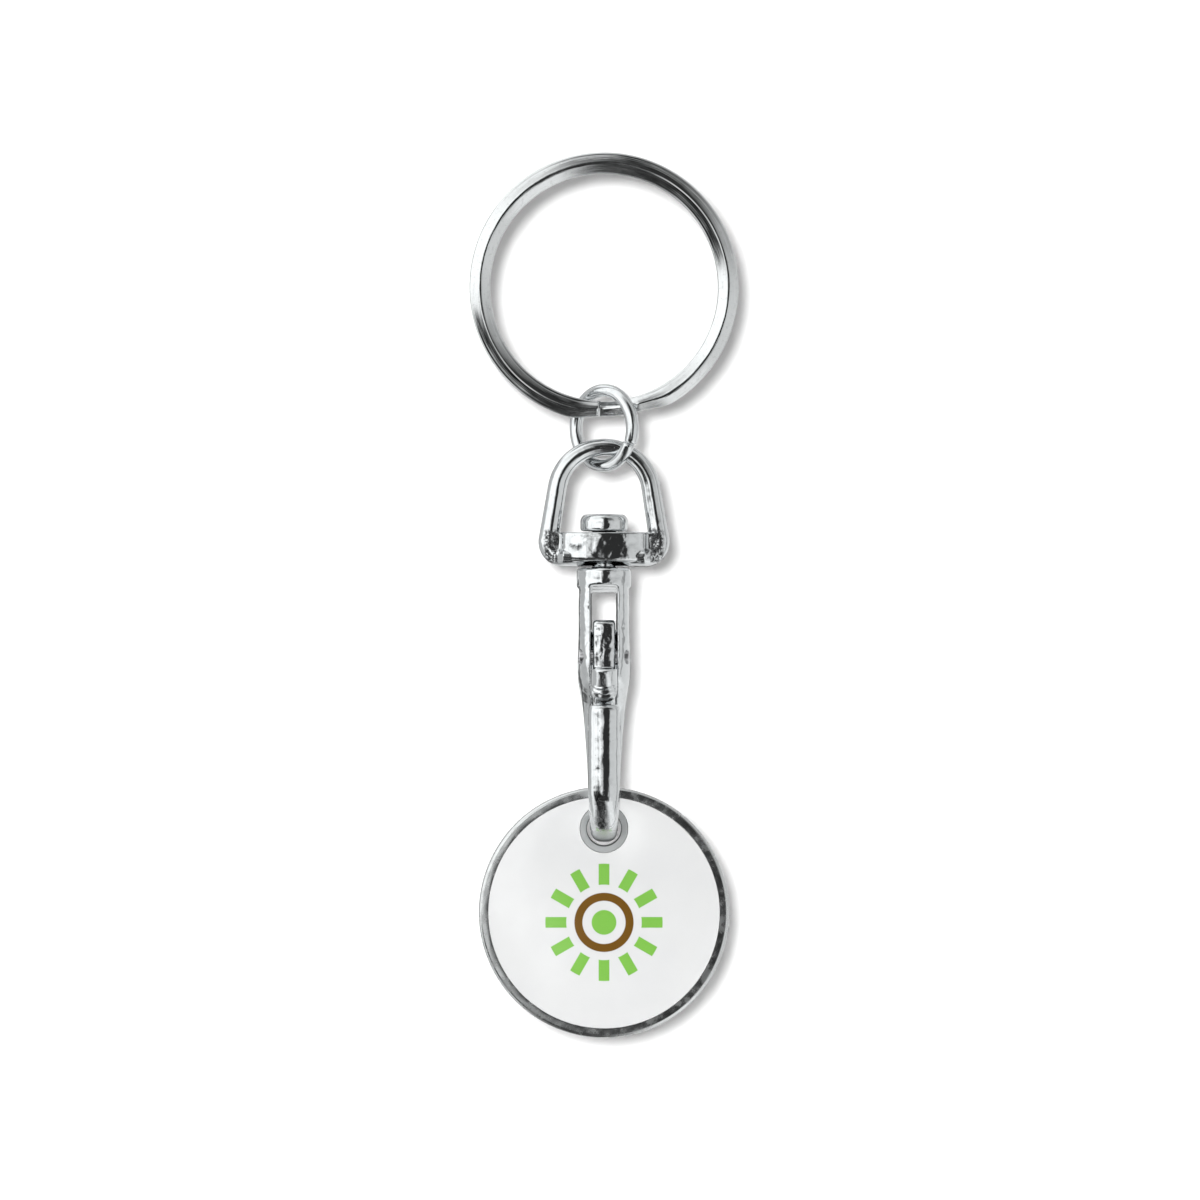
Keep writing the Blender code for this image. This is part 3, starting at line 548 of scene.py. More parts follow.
# jump ring
jumpRing = dict(
    innerDiameter=5.8, wire=1.2, twist=radians(42), cutAngle=radians(-24),
    cutGap=0.12, slip=0.08, slipRun=radians(60), endShrink=0.93, steps=160, sides=28,
)


def buildJumpRing(part):
    low, high = cadBoxOf("jump_ring")
    centre = Vector((0.0, 0.0, (low.z + high.z) / 2))
    radius = (part["innerDiameter"] + part["wire"]) / 2
    twist, size = part["twist"], part["wire"] / 2
    along = Vector((cos(twist), -sin(twist), 0.0))
    across = Vector((sin(twist), cos(twist), 0.0))
    up = Vector((0.0, 0.0, 1.0))
    halfGap = part["cutGap"] / radius / 2
    start = part["cutAngle"] + halfGap
    end = part["cutAngle"] + 2 * pi - halfGap
    rings = []
    for share in shares(part["steps"]):
        angle = mix(start, end, share)
        slip = smoothStep((end - angle) / part["slipRun"]) - smoothStep((angle - start) / part["slipRun"])
        outward = along * cos(angle) + up * sin(angle)
        middle = centre + across * part["slip"] * slip + outward * radius
        rings.append(oval(middle, outward, across, size, size, part["sides"]))
    # the sheared ends have a small burr-free edge
    for index in (0, -1):
        heart = sum(rings[index], Vector()) / len(rings[index])
        rings[index] = [heart + (point - heart) * part["endShrink"] for point in rings[index]]
    return skin(rings)


finishPiece("jumpRing", buildJumpRing(jumpRing), castMetal("linkPlating", linkLook), "link", "jump_ring")

# swivel eye
swivelEye = dict(
    width=12.2, archRadius=5.2, bowThickness=1.6, bowDepth=1.7, legThickness=1.9,
    legDepth=1.8, cornerRadius=2.3, barDepth=4.0, barPower=4, webInset=0.05, webLap=0.1,
    blockWidth=8.3, blockDepth=4.8, blockHeight=2.75, blockDrop=8.73, blockPower=2.7,
    blockSides=64, topEdge=0.15, topAngles=(0.0, 0.5, 1.0, pi / 2),
    bottomEdge=0.4, bottomAngles=(pi / 2, 1.2, 0.8, 0.4, 0.0), shank=2.1, boreGap=0.05,
    boreSides=48, sides=28, archSteps=20, cornerSteps=14, voxel=0.062, smoothing=4,
)
eyeLow, eyeHigh = cadBoxOf("swivel_eye")
blockTop = eyeHigh.z - swivelEye["blockDrop"]


def eyeRings(part):
    archCentre = Vector((0.0, eyeHigh.z - part["archRadius"]))
    archRadius = part["archRadius"] - part["bowThickness"] / 2
    cornerRadius = part["cornerRadius"] - part["legThickness"] / 2
    cornerCentre = Vector((part["width"] / 2 - part["cornerRadius"], eyeLow.z + part["cornerRadius"]))
    between = cornerCentre - archCentre
    lean = atan2(between.y, between.x) + acos((archRadius - cornerRadius) / between.length)
    bow = Vector((part["bowThickness"] / 2, part["bowDepth"] / 2))
    leg = Vector((part["legThickness"] / 2, part["legDepth"] / 2))
    bar = Vector((part["legThickness"] / 2, part["barDepth"] / 2))
    path = []
    # the bow has grown half of the way to the leg's size where its arch ends
    for share in shares(part["archSteps"]):
        path.append((archCentre, archRadius, mix(pi / 2, lean, share), bow.lerp(leg, share / 2)))
    for share in shares(part["cornerSteps"]):
        size = leg.lerp(bar, share ** part["barPower"])
        path.append((cornerCentre, cornerRadius, mix(lean, -pi / 2, share), size))
    path.append((Vector((0.0, cornerCentre.y)), cornerRadius, -pi / 2, bar))
    right = []
    for centre, radius, angle, size in path:
        outward = Vector((cos(angle), 0.0, sin(angle)))
        middle = Vector((centre.x, 0.0, centre.y)) + outward * radius
        right.append(oval(middle, outward, backward, size.x, size.y, part["sides"]))
    left = [[Vector((-point.x, point.y, point.z)) for point in ring] for ring in right]
    return right + list(reversed(left[1:-1]))


def webShape(part):
    # fills the corners between the block and the bow's legs
    corner = part["cornerRadius"] - part["legThickness"] / 2
    bottom = eyeLow.z + part["cornerRadius"] - corner / 2
    bottomAcross = part["width"] / 2 - part["cornerRadius"] + corner / 2
    topAcross = (part["width"] - part["legThickness"]) / 2 - part["webInset"]
    rings = []
    for height, across in ((bottom, bottomAcross), (blockTop - part["webLap"], topAcross)):
        corners = ((-1, -1), (1, -1), (1, 1), (-1, 1))
        rings.append([Vector((x * across, y * part["legDepth"] / 2, height)) for x, y in corners])
    return skin(rings)


def blockShape(part):
    outline = roundedOutline(part["blockSides"], part["blockPower"], part["blockPower"])
    rings = []
    for end, side, level in (("top", -1, blockTop), ("bottom", 1, blockTop - part["blockHeight"])):
        edge = part[end + "Edge"]
        for angle in part[end + "Angles"]:
            inset = edge * (1 - sin(angle))
            halfWidth = part["blockWidth"] / 2 - inset
            halfDepth = part["blockDepth"] / 2 - inset
            height = level + side * edge * (1 - cos(angle))
            rings.append([Vector((x * halfWidth, y * halfDepth, height)) for x, y in outline])
    return skin(rings)


def buildSwivelEye(part):
    radius = part["shank"] / 2 + part["boreGap"]
    ends = ((radius, eyeLow.z - overrun), (radius, blockTop + overrun))
    bore = lathe(ends, Vector(), part["boreSides"])
    parts = [skin(eyeRings(part), True), webShape(part), blockShape(part)]
    return joinedSolid("swivelEye", parts, [bore], castTools(part))


finishPiece("swivelEye", buildSwivelEye(swivelEye), castMetal("eyePlating", eyeLook), "eye", "swivel_eye")

# hook body; the lever's values come first, because the nose and the slot follow them
gateLever = dict(
    width=2.08, barrel=1.45, armHeight=3.45, armFront=1.15, armThickness=1.3, edge=0.28,
    edgeSteps=3, crown=0.16, sections=(-1.0, -0.6, -0.4, -0.2, 0.0, 0.2, 0.4, 0.6, 1.0),
    tongueLap=2.0, tongueThickness=1.3, tipThickness=1.0, tongueFront=1.5, neck=0.95,
    knobWidth=2.5, knobReach=4.4, knobRadius=4.78, rootRadius=4.5, knobNeck=2.3,
    innerReach=2.76, topDrop=1.08, lip=0.22, ridges=3, ridgeDepth=0.34,
    ridgeSpan=radians(23), hollow=0.18, bulgePower=2.4, lowShare=0.62,
    endAngle=radians(78), knobSections=28, pocketWidth=1.25, pocketRadius=1.08,
    pocketLength=2.6, pocketFloor=0.5, boreRadius=0.65, boreHalf=4.0, boreSides=40, endSteps=14,
    barrelSteps=28, rootSteps=8, hollowSteps=10, pocketSteps=16, voxel=0.05, smoothing=2,
)
gateLever["knobBottom"] = sqrt(gateLever["knobRadius"] ** 2 - gateLever["knobNeck"] ** 2)
hookBody = dict(
    seat=0.1, head=4.4, headHeight=1.6, headEdge=0.32, shank=2.1, collar=5.08,
    headCurve=((1.3, 0.15), (0.8, 0.4), (0.33, 1.0), (0.1, 1.5), (0.0, 2.0)), stemSides=64,
    collarHeight=2.05, collarEdge=0.25, stemLap=0.5, neckOverlap=0.5, depth=10.6,
    limbDepth=2.5, limbWidth=3.0, bendWidth=2.5, noseWidth=2.9, cheekWidth=5.0,
    ridgePower=3.0, ridgeSlope=0.22, ridgeSoft=0.4, bendRidged=0.35, roundPower=2.0,
    squarePower=2.8, sides=56, rowSteps=3, bendSteps=36, noseShares=(0.2, 0.4, 0.6, 0.8),
    tipSteps=8, tipEdge=0.5, noseGap=0.18, slotFront=2.55, slotBack=2.2, slotCollarCut=0.5,
    slotSlope=radians(9.6), windowRise=2.4, swingStart=0.8, swingLength=4.6,
    swingAngle=radians(36), mouthDrop=1.4, barrelGap=0.1,
    wornFrom=0.5, wornTo=1.6, wornRough=0.5, voxel=0.09, smoothing=4,
)
# how far down, front and back, width, and how far the back has turned from square to ridged
hookRows = (
    (0.0, -0.434, 0.434, 0.92, 0.0), (0.09, -0.443, 0.453, 0.945, 0.0), (0.225, -0.453, 0.52, 0.945, 0.1),
    (0.305, -0.481, 0.6, 0.96, 0.2), (0.37, -0.519, 0.7, 0.98, 0.3), (0.423, -0.519, 0.775, 0.98, 0.45),
    (0.477, -0.434, 0.85, 0.968, 0.65), (0.52, -0.264, 0.905, 0.92, 0.8), (0.563, 0.0, 0.943, 0.86, 0.9),
    (0.607, 0.264, 0.972, 0.808, 1.0), (0.65, 0.415, 0.99, 0.772, 1.0), (0.71, 0.5, 1.0, 0.732, 1.0),
    (0.818, 0.528, 1.0, 0.672, 1.0), (0.925, 0.528, 1.0, 0.62, 1.0), (1.0, 0.528, 1.0, 0.6, 1.0),
)
collarTop = eyeLow.z - hookBody["seat"]
collarBottom = collarTop - hookBody["collarHeight"]
hookBottom = cadBoxOf("hook_body")[0].z
bendHeight = hookBottom + hookBody["depth"] / 2
pinPlace = jointAt["gate_open"]
alongPin = Matrix.Rotation(pi / 2, 4, "Y")


def smoothRows(rows, per):
    # passes a smooth curve through the rows
    result = []
    for index in range(len(rows) - 1):
        before = rows[max(index - 1, 0)]
        here, after = rows[index], rows[index + 1]
        beyond = rows[min(index + 2, len(rows) - 1)]
        for t in shares(per)[:-1]:
            row = []
            for a, b, c, d in zip(before, here, after, beyond):
                curve = 2 * a - 5 * b + 4 * c - d + t * (3 * (b - c) + d - a)
                row.append(b + 0.5 * t * (c - a + t * curve))
            result.append(row)
    return result


def clawRings(part):
    half = part["depth"] / 2
    limb = part["limbDepth"] / 2
    neckTop = collarBottom + part["neckOverlap"]
    rings = []

    def addRing(middle, outward, halfWidth, halfDepth, ridged):
        outer = mix(part["squarePower"], part["ridgePower"], ridged)
        inner = mix(part["squarePower"], part["roundPower"], ridged)
        slope = part["ridgeSlope"] * ridged
        ring = []
        for x, y in roundedOutline(part["sides"], outer, inner):
            fall = slope * (hypot(x, part["ridgeSoft"]) - part["ridgeSoft"])
            reach = y * (1 - fall) if y > 0 else y
            ring.append(middle + Vector((x * halfWidth, 0.0, 0.0)) + outward * (reach * halfDepth))
        rings.append(ring)

    for drop, front, back, width, ridged in smoothRows(hookRows, part["rowSteps"]):
        middle = Vector((0.0, (front + back) / 2 * half, mix(neckTop, bendHeight, drop)))
        halfWidth = width * part["cheekWidth"] / 2
        addRing(middle, backward, halfWidth, (back - front) / 2 * half, min(max(ridged, 0), 1))
    bendRadius = half - limb
    for step in range(part["bendSteps"] + 1):
        angle = pi * step / part["bendSteps"]
        outward = Vector((0.0, cos(angle), -sin(angle)))
        edge = part["limbWidth"] if angle < pi / 2 else part["noseWidth"]
        narrow = sin(angle) ** 2
        halfWidth = mix(edge, part["bendWidth"], narrow) / 2
        middle = Vector((0.0, 0.0, bendHeight)) + outward * bendRadius
        addRing(middle, outward, halfWidth, limb, mix(1.0, part["bendRidged"], narrow))
    shoulder = pinPlace.z - gateLever["knobBottom"] - part["noseGap"] - part["tipEdge"]
    heights = [(mix(bendHeight, shoulder, share), 1.0) for share in part["noseShares"]]
    for step in range(part["tipSteps"]):
        angle = pi / 2 * step / part["tipSteps"]
        heights.append((shoulder + part["tipEdge"] * sin(angle), cos(angle)))
    for height, share in heights:
        inset = part["tipEdge"] * (1 - share)
        middle = Vector((0.0, -bendRadius, height))
        addRing(middle, -backward, part["noseWidth"] / 2 - inset, limb - inset, 1.0)
    return rings


def stemShape(part):
    head, shank, collar = part["head"] / 2, part["shank"] / 2, part["collar"] / 2
    headBottom = blockTop + part["seat"]
    headTop = headBottom + part["headHeight"]
    edge, bevel = part["headEdge"], part["collarEdge"]
    profile = [(head / 2, headTop)]
    profile += [(head - edge * across, headTop - edge * drop) for across, drop in part["headCurve"]]
    profile += [
        (head, headBottom + edge / 2), (head - edge / 2, headBottom), (shank, headBottom),
        (shank, collarTop), (collar - bevel, collarTop), (collar, collarTop - bevel),
        (collar, collarBottom + bevel), (collar - bevel, collarBottom),
        (shank, collarBottom - part["stemLap"]),
    ]
    return lathe(profile, Vector(), part["stemSides"])


def slotShape(part):
    back = part["depth"] / 2 + overrun
    front = -back
    top = collarBottom + part["slotCollarCut"]
    slope, collar = tan(part["slotSlope"]), part["collar"] / 2
    wall = pinPlace.y + gateLever["barrel"] + part["barrelGap"]
    start = pinPlace.z - part["swingStart"]
    endY = wall + part["swingLength"] * sin(part["swingAngle"])
    endZ = start - part["swingLength"] * cos(part["swingAngle"])
    windowBottom = pinPlace.z + part["windowRise"]
    outline = (
        (front, top - (front + collar) * slope), (back, top - (back + collar) * slope),
        (back, windowBottom), (wall, windowBottom), (wall, start), (endY, endZ), (pinPlace.y, endZ),
        (front, pinPlace.z - part["mouthDrop"]),
    )
    cheek = part["cheekWidth"]
    return plate(outline, lambda y: mix(part["slotFront"], part["slotBack"], (y + cheek / 2) / cheek) / 2)


def boreShape():
    radius, half = gateLever["boreRadius"], gateLever["boreHalf"]
    return lathe(((radius, -half), (radius, half)), pinPlace, gateLever["boreSides"], alongPin)


def buildHookBody(part):
    parts = [skin(clawRings(part)), stemShape(part)]
    cuts = [slotShape(part), boreShape()]
    return joinedSolid("hookBody", parts, cuts, castTools(part))


wornSpan = (hookBottom + hookBody["wornFrom"], hookBottom + hookBody["wornTo"])
hookLook = dict(castLook, seed=23.0, dull=dict(span=wornSpan, rough=hookBody["wornRough"]))
finishPiece("hookBody", buildHookBody(hookBody), castMetal("hookPlating", hookLook), "hook", "hook_body")


# gate lever; outlines are first drawn forward of the pin and above it
def besidePin(points):
    return [(pinPlace.y - forward, pinPlace.z + up) for forward, up in points]


def knobSurface(radius, start, end, steps, notch=0.0):
    points = []
    for step in range(steps + 1):
        angle = mix(start, end, step / steps)
        reach = radius - notch * (step % 2)
        points.append((reach * sin(angle), -reach * cos(angle)))
    return points


def leverOutline(part):
    armRadius, barrel = part["armThickness"] / 2, part["barrel"]
    armBack = part["armFront"] - part["armThickness"]
    tongueBack = part["tongueFront"] - part["tongueThickness"]
    tip = part["tipThickness"] / 2
    armCentre = (part["armFront"] - armRadius, part["armHeight"] - armRadius)
    points = arc(armCentre, armRadius, 0.0, pi, part["endSteps"])
    start = atan2(sqrt(barrel**2 - armBack**2), armBack)
    end = atan2(-sqrt(barrel**2 - tongueBack**2), tongueBack) + 2 * pi
    points += arc((0.0, 0.0), barrel, start, end, part["barrelSteps"])
    tongueLength = part["knobBottom"] + hookBody["noseGap"] + part["tongueLap"]
    tipCentre = (part["tongueFront"] - tip, tip - tongueLength)
    points += arc(tipCentre, tip, pi, 2 * pi, part["endSteps"])
    root = asin(part["tongueFront"] / part["rootRadius"])
    reach = asin(part["innerReach"] / part["rootRadius"])
    points += knobSurface(part["rootRadius"], root, reach, part["rootSteps"])
    points += [(part["innerReach"], -part["topDrop"] - part["lip"]), (part["armFront"], -part["neck"])]
    return besidePin(points)


def knobOutline(part):
    start = asin(part["knobNeck"] / part["knobRadius"])
    end = acos((part["topDrop"] + part["lip"]) / part["knobRadius"])
    ridgeEnd = start + part["ridgeSpan"]
    points = knobSurface(part["knobRadius"], start, ridgeEnd, part["ridges"] * 2, part["ridgeDepth"])
    points += knobSurface(part["knobRadius"] - part["hollow"], ridgeEnd, end, part["hollowSteps"])[1:-2]
    reach, top, lip = part["knobReach"], -part["topDrop"], part["lip"]
    return points + [(reach, top - lip), (reach - lip, top), (part["knobNeck"], top)]


def knobShape(part):
    # the outline shrinks towards its root on both sides, which rounds the front
    power = 2 / part["bulgePower"]
    rings = []
    for share in shares(part["knobSections"]):
        angle = mix(-part["endAngle"], part["endAngle"], share)
        across = copysign(abs(sin(angle)) ** power, angle) * part["knobWidth"] / 2
        bulge = cos(angle) ** power
        lower = mix(part["lowShare"], 1.0, bulge)
        ring = []
        for forward, up in knobOutline(part):
            reach = mix(part["knobNeck"], forward, bulge)
            drop = (up + part["topDrop"]) * lower - part["topDrop"]
            ring.append(Vector((across, pinPlace.y - reach, pinPlace.z + drop)))
        rings.append(ring)
    return skin(rings)


def pocketShape(part):
    back = -part["barrel"] - overrun
    points = arc((0.0, 0.0), part["pocketRadius"], pi / 2, -pi / 4, part["pocketSteps"])
    points += [(part["pocketFloor"], -part["pocketRadius"]), (part["pocketFloor"], -part["pocketLength"])]
    points += [(back, -part["pocketLength"]), (back, part["pocketRadius"])]
    return plate(besidePin(points), lambda y: part["pocketWidth"] / 2)


def leverShape(part):
    # the front is slightly crowned across, and both sides are bevelled
    half = part["width"] / 2
    rings = []
    for share in part["sections"]:
        ring = []
        for y, z in leverOutline(part):
            frontness = min(max((pinPlace.y - y) / part["armFront"], 0.0), 1.0)
            ring.append(Vector((share * half, y + part["crown"] * share**2 * frontness, z)))
        rings.append(ring)
    lever = skin(rings)
    nearSide = half * 0.99
    sides = [edge for edge in lever.edges if all(abs(corner.co.x) > nearSide for corner in edge.verts)]
    settings = dict(offset=part["edge"], segments=part["edgeSteps"], profile=0.5, clamp_overlap=False)
    bmesh.ops.bevel(lever, geom=sides, affect="EDGES", offset_type="OFFSET", **settings)
    return lever


def buildGateLever(part):
    parts = [leverShape(part), knobShape(part)]
    cuts = [pocketShape(part), boreShape()]
    return joinedSolid("gateLever", parts, cuts, castTools(part))


leverMetal = castMetal("leverPlating", leverLook)
finishPiece("gateLever", buildGateLever(gateLever), leverMetal, "gate", "gate_lever")

# pin and spring
pivotPin = dict(
    diameter=1.2, length=4.85, crown=0.1, domeDepth=2.0, domeShare=0.98, shoulder=2.4,
    domePlaces=(0.2, 0.45, 0.7, 0.86, 0.96), sides=40,
)
gateSpring = dict(
    wire=0.24, coilRadius=0.78, turns=3, pitch=0.29, wallAngle=radians(25),
    tongueAngle=radians(30), wallLeg=1.6, tongueLeg=2.0, perTurn=40, legSteps=8, sides=12,
    bendFrom=0.35, bendTo=1.3,
)


def buildPin(part):
    radius, half, crown = part["diameter"] / 2, part["length"] / 2, part["crown"]
    end = []
    for share in part["domePlaces"]:
        fall = 1 - sqrt(1 - share**2 * part["domeShare"])
        end.append((radius * share, half - crown * part["domeDepth"] * fall))
    end.append((radius, half - crown * part["shoulder"]))
    return lathe(mirrored(end), pinPlace, part["sides"], alongPin)


def buildSpring(part):
    radius, half = part["coilRadius"], part["turns"] * part["pitch"] / 2
    start = -part["wallAngle"]
    end = -part["tongueAngle"] - 2 * pi * part["turns"]
    coil = []
    for share in shares(part["perTurn"] * part["turns"]):
        angle = mix(start, end, share)
        across = mix(-half, half, share)
        coil.append(Vector((across, radius * cos(angle), radius * sin(angle))))
    come = Vector((0.0, sin(part["wallAngle"]), cos(part["wallAngle"])))
    leave = Vector((0.0, -sin(part["tongueAngle"]), -cos(part["tongueAngle"])))
    legShares = shares(part["legSteps"])[1:]
    path = [coil[0] + come * (part["wallLeg"] * share) for share in reversed(legShares)] + coil
    path += [coil[-1] + leave * (part["tongueLeg"] * share) for share in legShares]
    size = part["wire"] / 2
    rings = []
    for index, point in enumerate(path):
        ahead = (path[min(index + 1, len(path) - 1)] - path[max(index - 1, 0)]).normalized()
        side = ahead.cross(Vector((1.0, 0.0, 0.0))).normalized()
        top = ahead.cross(side)
        rings.append(oval(pinPlace + point, side, top, size, size, part["sides"]))
    return skin(rings)


finishPiece("pivotPin", buildPin(pivotPin), plainSteel("turnedPin", steelLook), "hook", "pivot_pin")
# the spring is baked in place and attached to no body; the lower leg's span is given but not used
springMetal = plainSteel("springWire", steelLook)
lowerLeg = ("gate", *[pinPlace - Vector((0.0, 0.0, gateSpring[end])) for end in ("bendFrom", "bendTo")])
finishPiece("gateSpring", buildSpring(gateSpring), springMetal, "hook", "gate_spring", lowerLeg)

# token
token = dict(
    diameter=23.26, thickness=2.33, edge=0.35, edgeAngles=(0.0, 0.3, 0.6, 0.9, 1.2, 1.57),
    rimWidth=0.85, recess=0.4, hole=3.2, holeEdge=0.07, holeRound=0.35, collar=4.45,
    stepSlope=0.02, fill=0.36, gap=0.012, fillEdge=0.03, fillRound=0.3,
    steps=256, holeSteps=96, sharpAngle=radians(50),
)
holeCentre = jointAt["coin_swing"]
coinLow, coinHigh = cadBoxOf("coin_blank")
coinCentre = (coinLow + coinHigh) / 2


def annulus(part, outer, inner, levels):
    # a plate with the token's outline and its off-centre hole
    # each level is a depth and how far both edges draw in
    shape = bmesh.new()
    ends = ([], [])
    edges = ((outer, -1, coinCentre.z, part["steps"]), (inner, 1, holeCentre.z, part["holeSteps"]))
    for size, sign, height, steps in edges:
        loops = []
        for depth, inset in levels:
            reach = size + sign * inset
            loops.append([shape.verts.new((reach * x, depth, height + reach * z)) for x, z in circle(steps)])
        joinLoops(shape, zip(loops, loops[1:]))
        for end, loop in zip(ends, (loops[0], loops[-1])):
            end += [shape.edges.get(pair) for pair in zip(loop, loop[1:] + loop[:1])]
    for end in ends:
        bmesh.ops.triangle_fill(shape, edges=end, use_beauty=True)
    bmesh.ops.recalc_face_normals(shape, faces=shape.faces)
    return shape


def buildCoinBlank(part):
    radius, half, edge = part["diameter"] / 2, part["thickness"] / 2, part["edge"]
    rounded = []
    for angle in part["edgeAngles"]:
        rounded.append((radius - edge + edge * sin(angle), half - edge + edge * cos(angle)))
    facing = Matrix.Rotation(pi / 2, 4, "X")
    disc = lathe(mirrored(rounded), coinCentre, part["steps"], facing)
    hole, lead, curve = part["hole"] / 2, part["holeEdge"], part["holeEdge"] * part["holeRound"]
    flare = [(hole + lead + overrun, half + overrun), (hole + curve, half - curve), (hole, half - lead)]
    cuts = [lathe(mirrored(flare), holeCentre, part["holeSteps"], facing)]
    for side in (-1, 1):
        floor, beyond = side * (half - part["recess"]), side * (half + part["stepSlope"])
        levels = ((floor, part["stepSlope"]), (beyond, -part["stepSlope"]))
        cuts.append(annulus(part, radius - part["rimWidth"], part["collar"] / 2, levels))
    return joinedSolid("coinBlank", [disc], cuts)


def buildCoinFace(part, side):
    floor = part["thickness"] / 2 - part["recess"] + part["gap"]
    top = floor + part["fill"]
    outer = part["diameter"] / 2 - part["rimWidth"] - part["gap"] - part["stepSlope"]
    inner = part["collar"] / 2 + part["gap"] + part["stepSlope"]
    edge = part["fillEdge"]
    curve = edge * part["fillRound"]
    levels = ((top, edge), (top - curve, curve), (top - edge, 0.0), (floor, 0.0))
    return annulus(part, outer, inner, [(side * depth, inset) for depth, inset in levels])


rimMetal = satinMetal("struckRim", coinCentre, holeCentre, satinLook)
sharp = token["sharpAngle"]
finishPiece("coinBlank", buildCoinBlank(token), rimMetal, "token", "coin_blank", sharpAngle=sharp)
for side, word in ((-1, "Front"), (1, "Back")):
    whiteFill = printedFill("whiteFill" + word, coinCentre, fillLook, printLook)
    node = "coin_face_" + word.lower()
    finishPiece("coinFace" + word, buildCoinFace(token, side), whiteFill, "token", node, sharpAngle=sharp)

# stage, light and camera
stage = dict(
    wallGap=68.0, height=420.0, drop=260.0, sweep=110.0, sweepSteps=24, run=700.0,
    halfWidth=500.0, tone=0.9, grain=(0.05, 3.0), grainTone=0.01, rough=0.9, specular=0.1,
)
lampTarget = (0.0, 0.0, -40.0)
lamps = dict(
    key=dict(place=(-9.0, -645.0, -32.0), size=15.0, power=4.6),
    fill=dict(place=(-260.0, -620.0, 320.0), size=620.0, power=1.0),
    behind=dict(place=(260.0, 620.0, 260.0), size=520.0, power=4.2),
)
# how bright the tent looks from the object, by direction; clock and turn are in degrees
tent = dict(
    left=1.42, right=0.8, leftSpan=(-0.18, 0.22), back=0.85, backSpan=(0.3, 0.9),
    gap=0.035, gapFrom=-8.0, gapTo=25.0, gapSoft=8.0, gapRise=(0.42, 0.62),
    raggedNoise=(4.0, 4.0, 0.6), raggedTurn=32.0, raggedTilt=0.25, raggedRise=0.3,
    clouds=(
        dict(clock=145.0, span=(5.0, 25.0), tiltSpan=(0.3, 0.6), steepFade=0.0, tone=1.02),
        dict(clock=20.0, span=(5.0, 82.0), tiltSpan=(0.3, 0.6), steepFade=0.75, tone=0.012),
        dict(clock=222.0, span=(30.0, 54.0), tiltSpan=(0.24, 0.45), steepFade=0.75, tone=0.012),
        dict(clock=192.0, span=(8.0, 40.0), tiltSpan=(0.24, 0.45), steepFade=0.0, tone=0.03),
    ),
    grains=((7.0, 4.0, 0.6), (0.44, 0.72)), grainTone=0.17, steepSpan=(0.8, 0.95),
    strips=(
        dict(turn=92.0, reach=6.0, rise=0.5, tone=0.4),
        dict(turn=-112.0, reach=24.0, rise=0.5, tone=0.58),
        dict(turn=-152.0, reach=8.0, rise=0.5, tone=0.12),
        dict(turn=180.0, reach=13.0, rise=0.12, tone=0.12),
    ),
    stripSoft=4.0, riseSoft=0.25, tint=(0.985, 1.0, 1.0),
)
view = dict(
    pixelsPerMm=10.75, imageSize=1200, centreX=604.0, topY=173.3, lens=200.0, sensor=36.0, nearest=0.01,
)


def buildStage(part):
    # a pale sweep: wall behind, floor below; clear when seen from its back
    wall, floor, bend = part["wallGap"], -part["drop"], part["sweep"]
    points = [(wall, part["height"]), (wall, floor + bend)]
    points += arc((wall - bend, floor + bend), bend, 0.0, -pi / 2, part["sweepSteps"])[1:]
    points.append((-part["run"], floor))
    shape = bmesh.new()
    rows = [[shape.verts.new((side * part["halfWidth"], y, z)) for side in (-1, 1)] for y, z in points]
    for (a, b), (c, d) in zip(rows, rows[1:]):
        shape.faces.new((a, b, d, c))
    shape.faces.ensure_lookup_table()
    shape.normal_update()
    if shape.faces[0].normal.y > 0:
        bmesh.ops.reverse_faces(shape, faces=shape.faces)
    mesh = plainMesh("sweep", shape)
    mesh.transform(Matrix.Scale(toMetres, 4))
    mesh.shade_smooth()
    material, kit, place = startMaterial("palePaper")
    backside = kit.node("ShaderNodeNewGeometry", output="Backfacing")
    shadowRay = kit.node("ShaderNodeLightPath", output="Is Shadow Ray")
    tone = part["tone"] - part["grainTone"] * kit.noise(place, *part["grain"])
    values = {"Roughness": part["rough"], "Specular IOR Level": part["specular"]}
    values["Base Color"] = kit.joined(tone, tone, tone)
    paper = kit.node("ShaderNodeBsdfPrincipled", inputs=values)
    clear = kit.node("ShaderNodeBsdfTransparent")
    unseen = kit.maths("MAXIMUM", backside, shadowRay)
    mixed = kit.node("ShaderNodeMixShader", inputs={0: unseen, 1: paper, 2: clear})
    kit.node("ShaderNodeOutputMaterial", inputs={0: mixed})
    mesh.materials.append(material)
    sweep = addObject("sweep", mesh)
    sweep.visible_glossy = False


def turnBetween(angle, target):
    # how far apart two directions are, both in degrees
    return 180.0 - abs(180.0 - abs(angle - target))


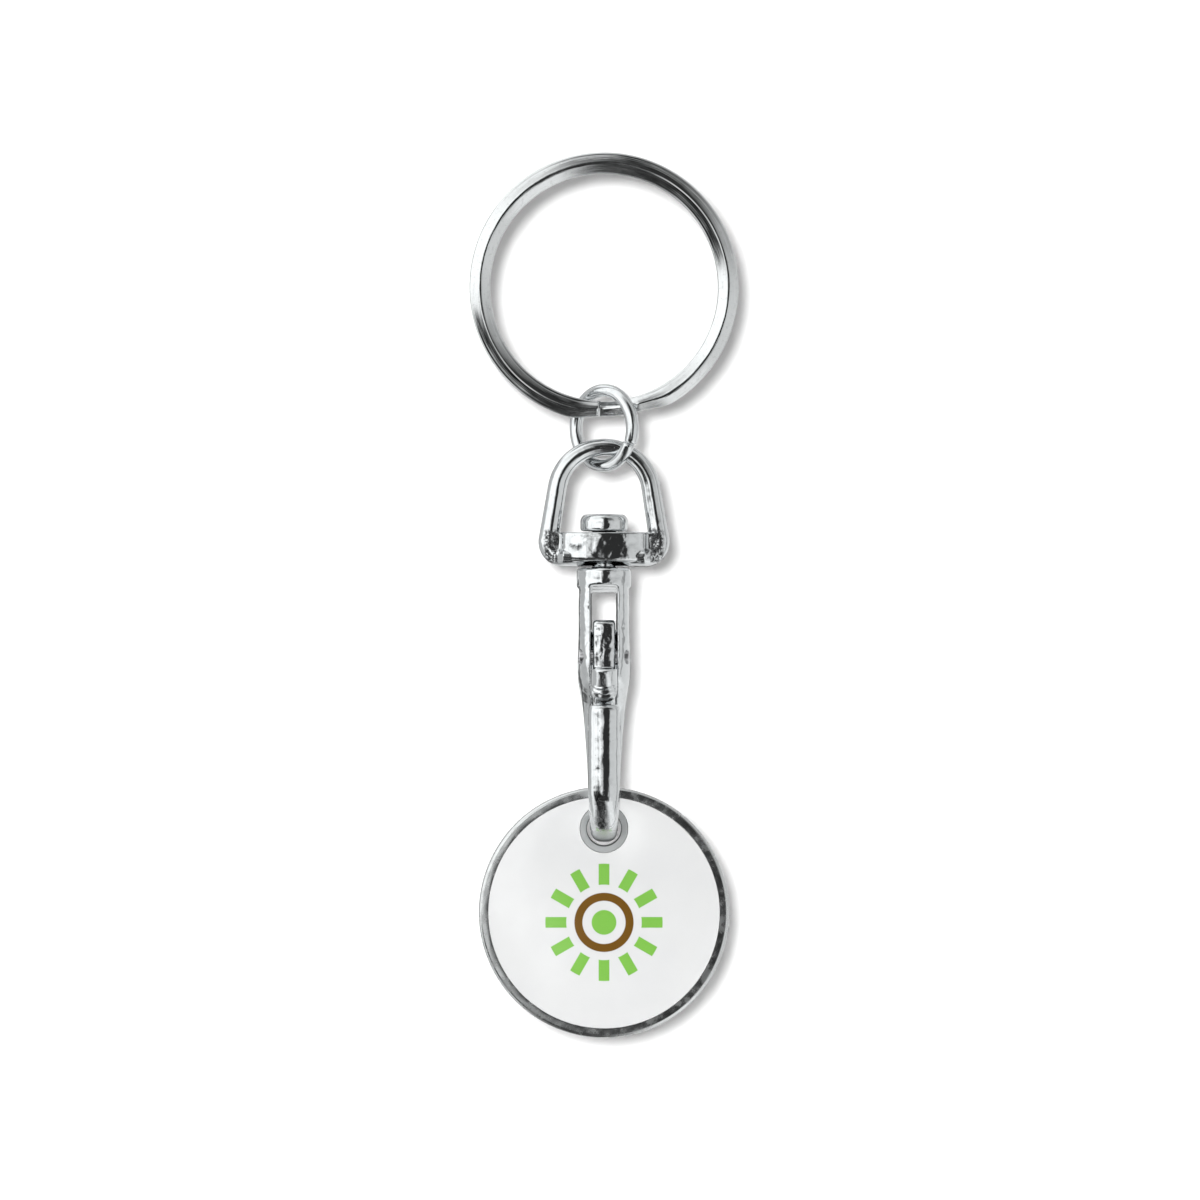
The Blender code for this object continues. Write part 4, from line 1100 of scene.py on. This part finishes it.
def buildTent(part):
    # seen in the chrome only: white to the left, grey to the right, a dark gap at the camera
    world = bpy.data.worlds.new("tent")
    bpy.context.scene.world = world
    world.cycles_visibility.diffuse = False
    kit = NodeKit(world)
    direction = kit.node("ShaderNodeTexCoord", output="Generated")
    x, y, z = kit.split(direction)
    ragged = kit.noise(direction, *part["raggedNoise"]) - 0.5
    tone = kit.blend(kit.fade(x, *part["leftSpan"]), part["right"], part["left"])
    # dark and bright clouds round the view's axis, placed like hours on a clock
    clock = kit.degrees(x, z)
    tilt = fromAxis(x, z) + ragged * part["raggedTilt"]
    grain = part["grainTone"] * kit.patches(direction, *part["grains"])
    steep = kit.step(tilt, *part["steepSpan"])
    for cloud in part["clouds"]:
        away = turnBetween(clock, cloud["clock"]) + ragged * part["raggedTurn"]
        cover = kit.fade(away, *cloud["span"]) * kit.step(tilt, *cloud["tiltSpan"])
        cover = cover * (1.0 - steep * cloud["steepFade"])
        tone = kit.blend(cover, tone, grain + cloud["tone"])
    tone = kit.blend(kit.step(y, *part["backSpan"]), tone, part["back"])
    # the gap for the camera, and upright strips to the sides and behind
    swing = kit.degrees(x, y * -1.0) + ragged * part["raggedTurn"]
    rise = abs(z) + ragged * part["raggedRise"]
    gap = kit.band(swing, part["gapFrom"], part["gapTo"], part["gapSoft"]) * kit.fade(rise, *part["gapRise"])
    tone = kit.blend(gap, tone, part["gap"])
    for strip in part["strips"]:
        reach, soft = strip["reach"], part["stripSoft"]
        cover = kit.fade(turnBetween(swing, strip["turn"]), reach - soft, reach + soft)
        cover = cover * kit.fade(rise, strip["rise"], strip["rise"] + part["riseSoft"])
        tone = kit.blend(cover, tone, strip["tone"])
    front = kit.node("ShaderNodeLightPath", output="Is Camera Ray")
    shade = kit.joined(*[tone * share for share in part["tint"]])
    shade = kit.tint(front, shade, colour((1.0, 1.0, 1.0)))
    light = kit.node("ShaderNodeBackground", inputs={0: shade, 1: 1.0})
    kit.node("ShaderNodeOutputWorld", inputs={0: light})


def buildLamp(name, part):
    lamp = bpy.data.lights.new(name, "AREA")
    lamp.shape = "DISK"
    lamp.size = part["size"] * toMetres
    lamp.energy = part["power"]
    held = addObject(name, lamp)
    held.location = Vector(part["place"]) * toMetres
    away = Vector(lampTarget) - Vector(part["place"])
    held.rotation_euler = away.to_track_quat("-Z", "Y").to_euler()
    held.visible_glossy = False


def buildCamera(part):
    middle = part["imageSize"] / 2
    across = (middle - part["centreX"]) / part["pixelsPerMm"]
    up = (part["topY"] - middle) / part["pixelsPerMm"]
    away = part["imageSize"] / part["pixelsPerMm"] * part["lens"] / part["sensor"]
    lens = bpy.data.cameras.new("view")
    lens.lens = part["lens"]
    lens.sensor_width = part["sensor"]
    lens.clip_start = part["nearest"]
    camera = addObject("view", lens)
    camera.location = Vector((across, -away, up)) * toMetres
    camera.rotation_euler = (pi / 2, 0.0, 0.0)
    bpy.context.scene.camera = camera


buildStage(stage)
buildTent(tent)
for name, lamp in lamps.items():
    buildLamp(name, lamp)
buildCamera(view)
bpy.context.scene.view_settings.view_transform = "Standard"
print("stage, light and camera ready")
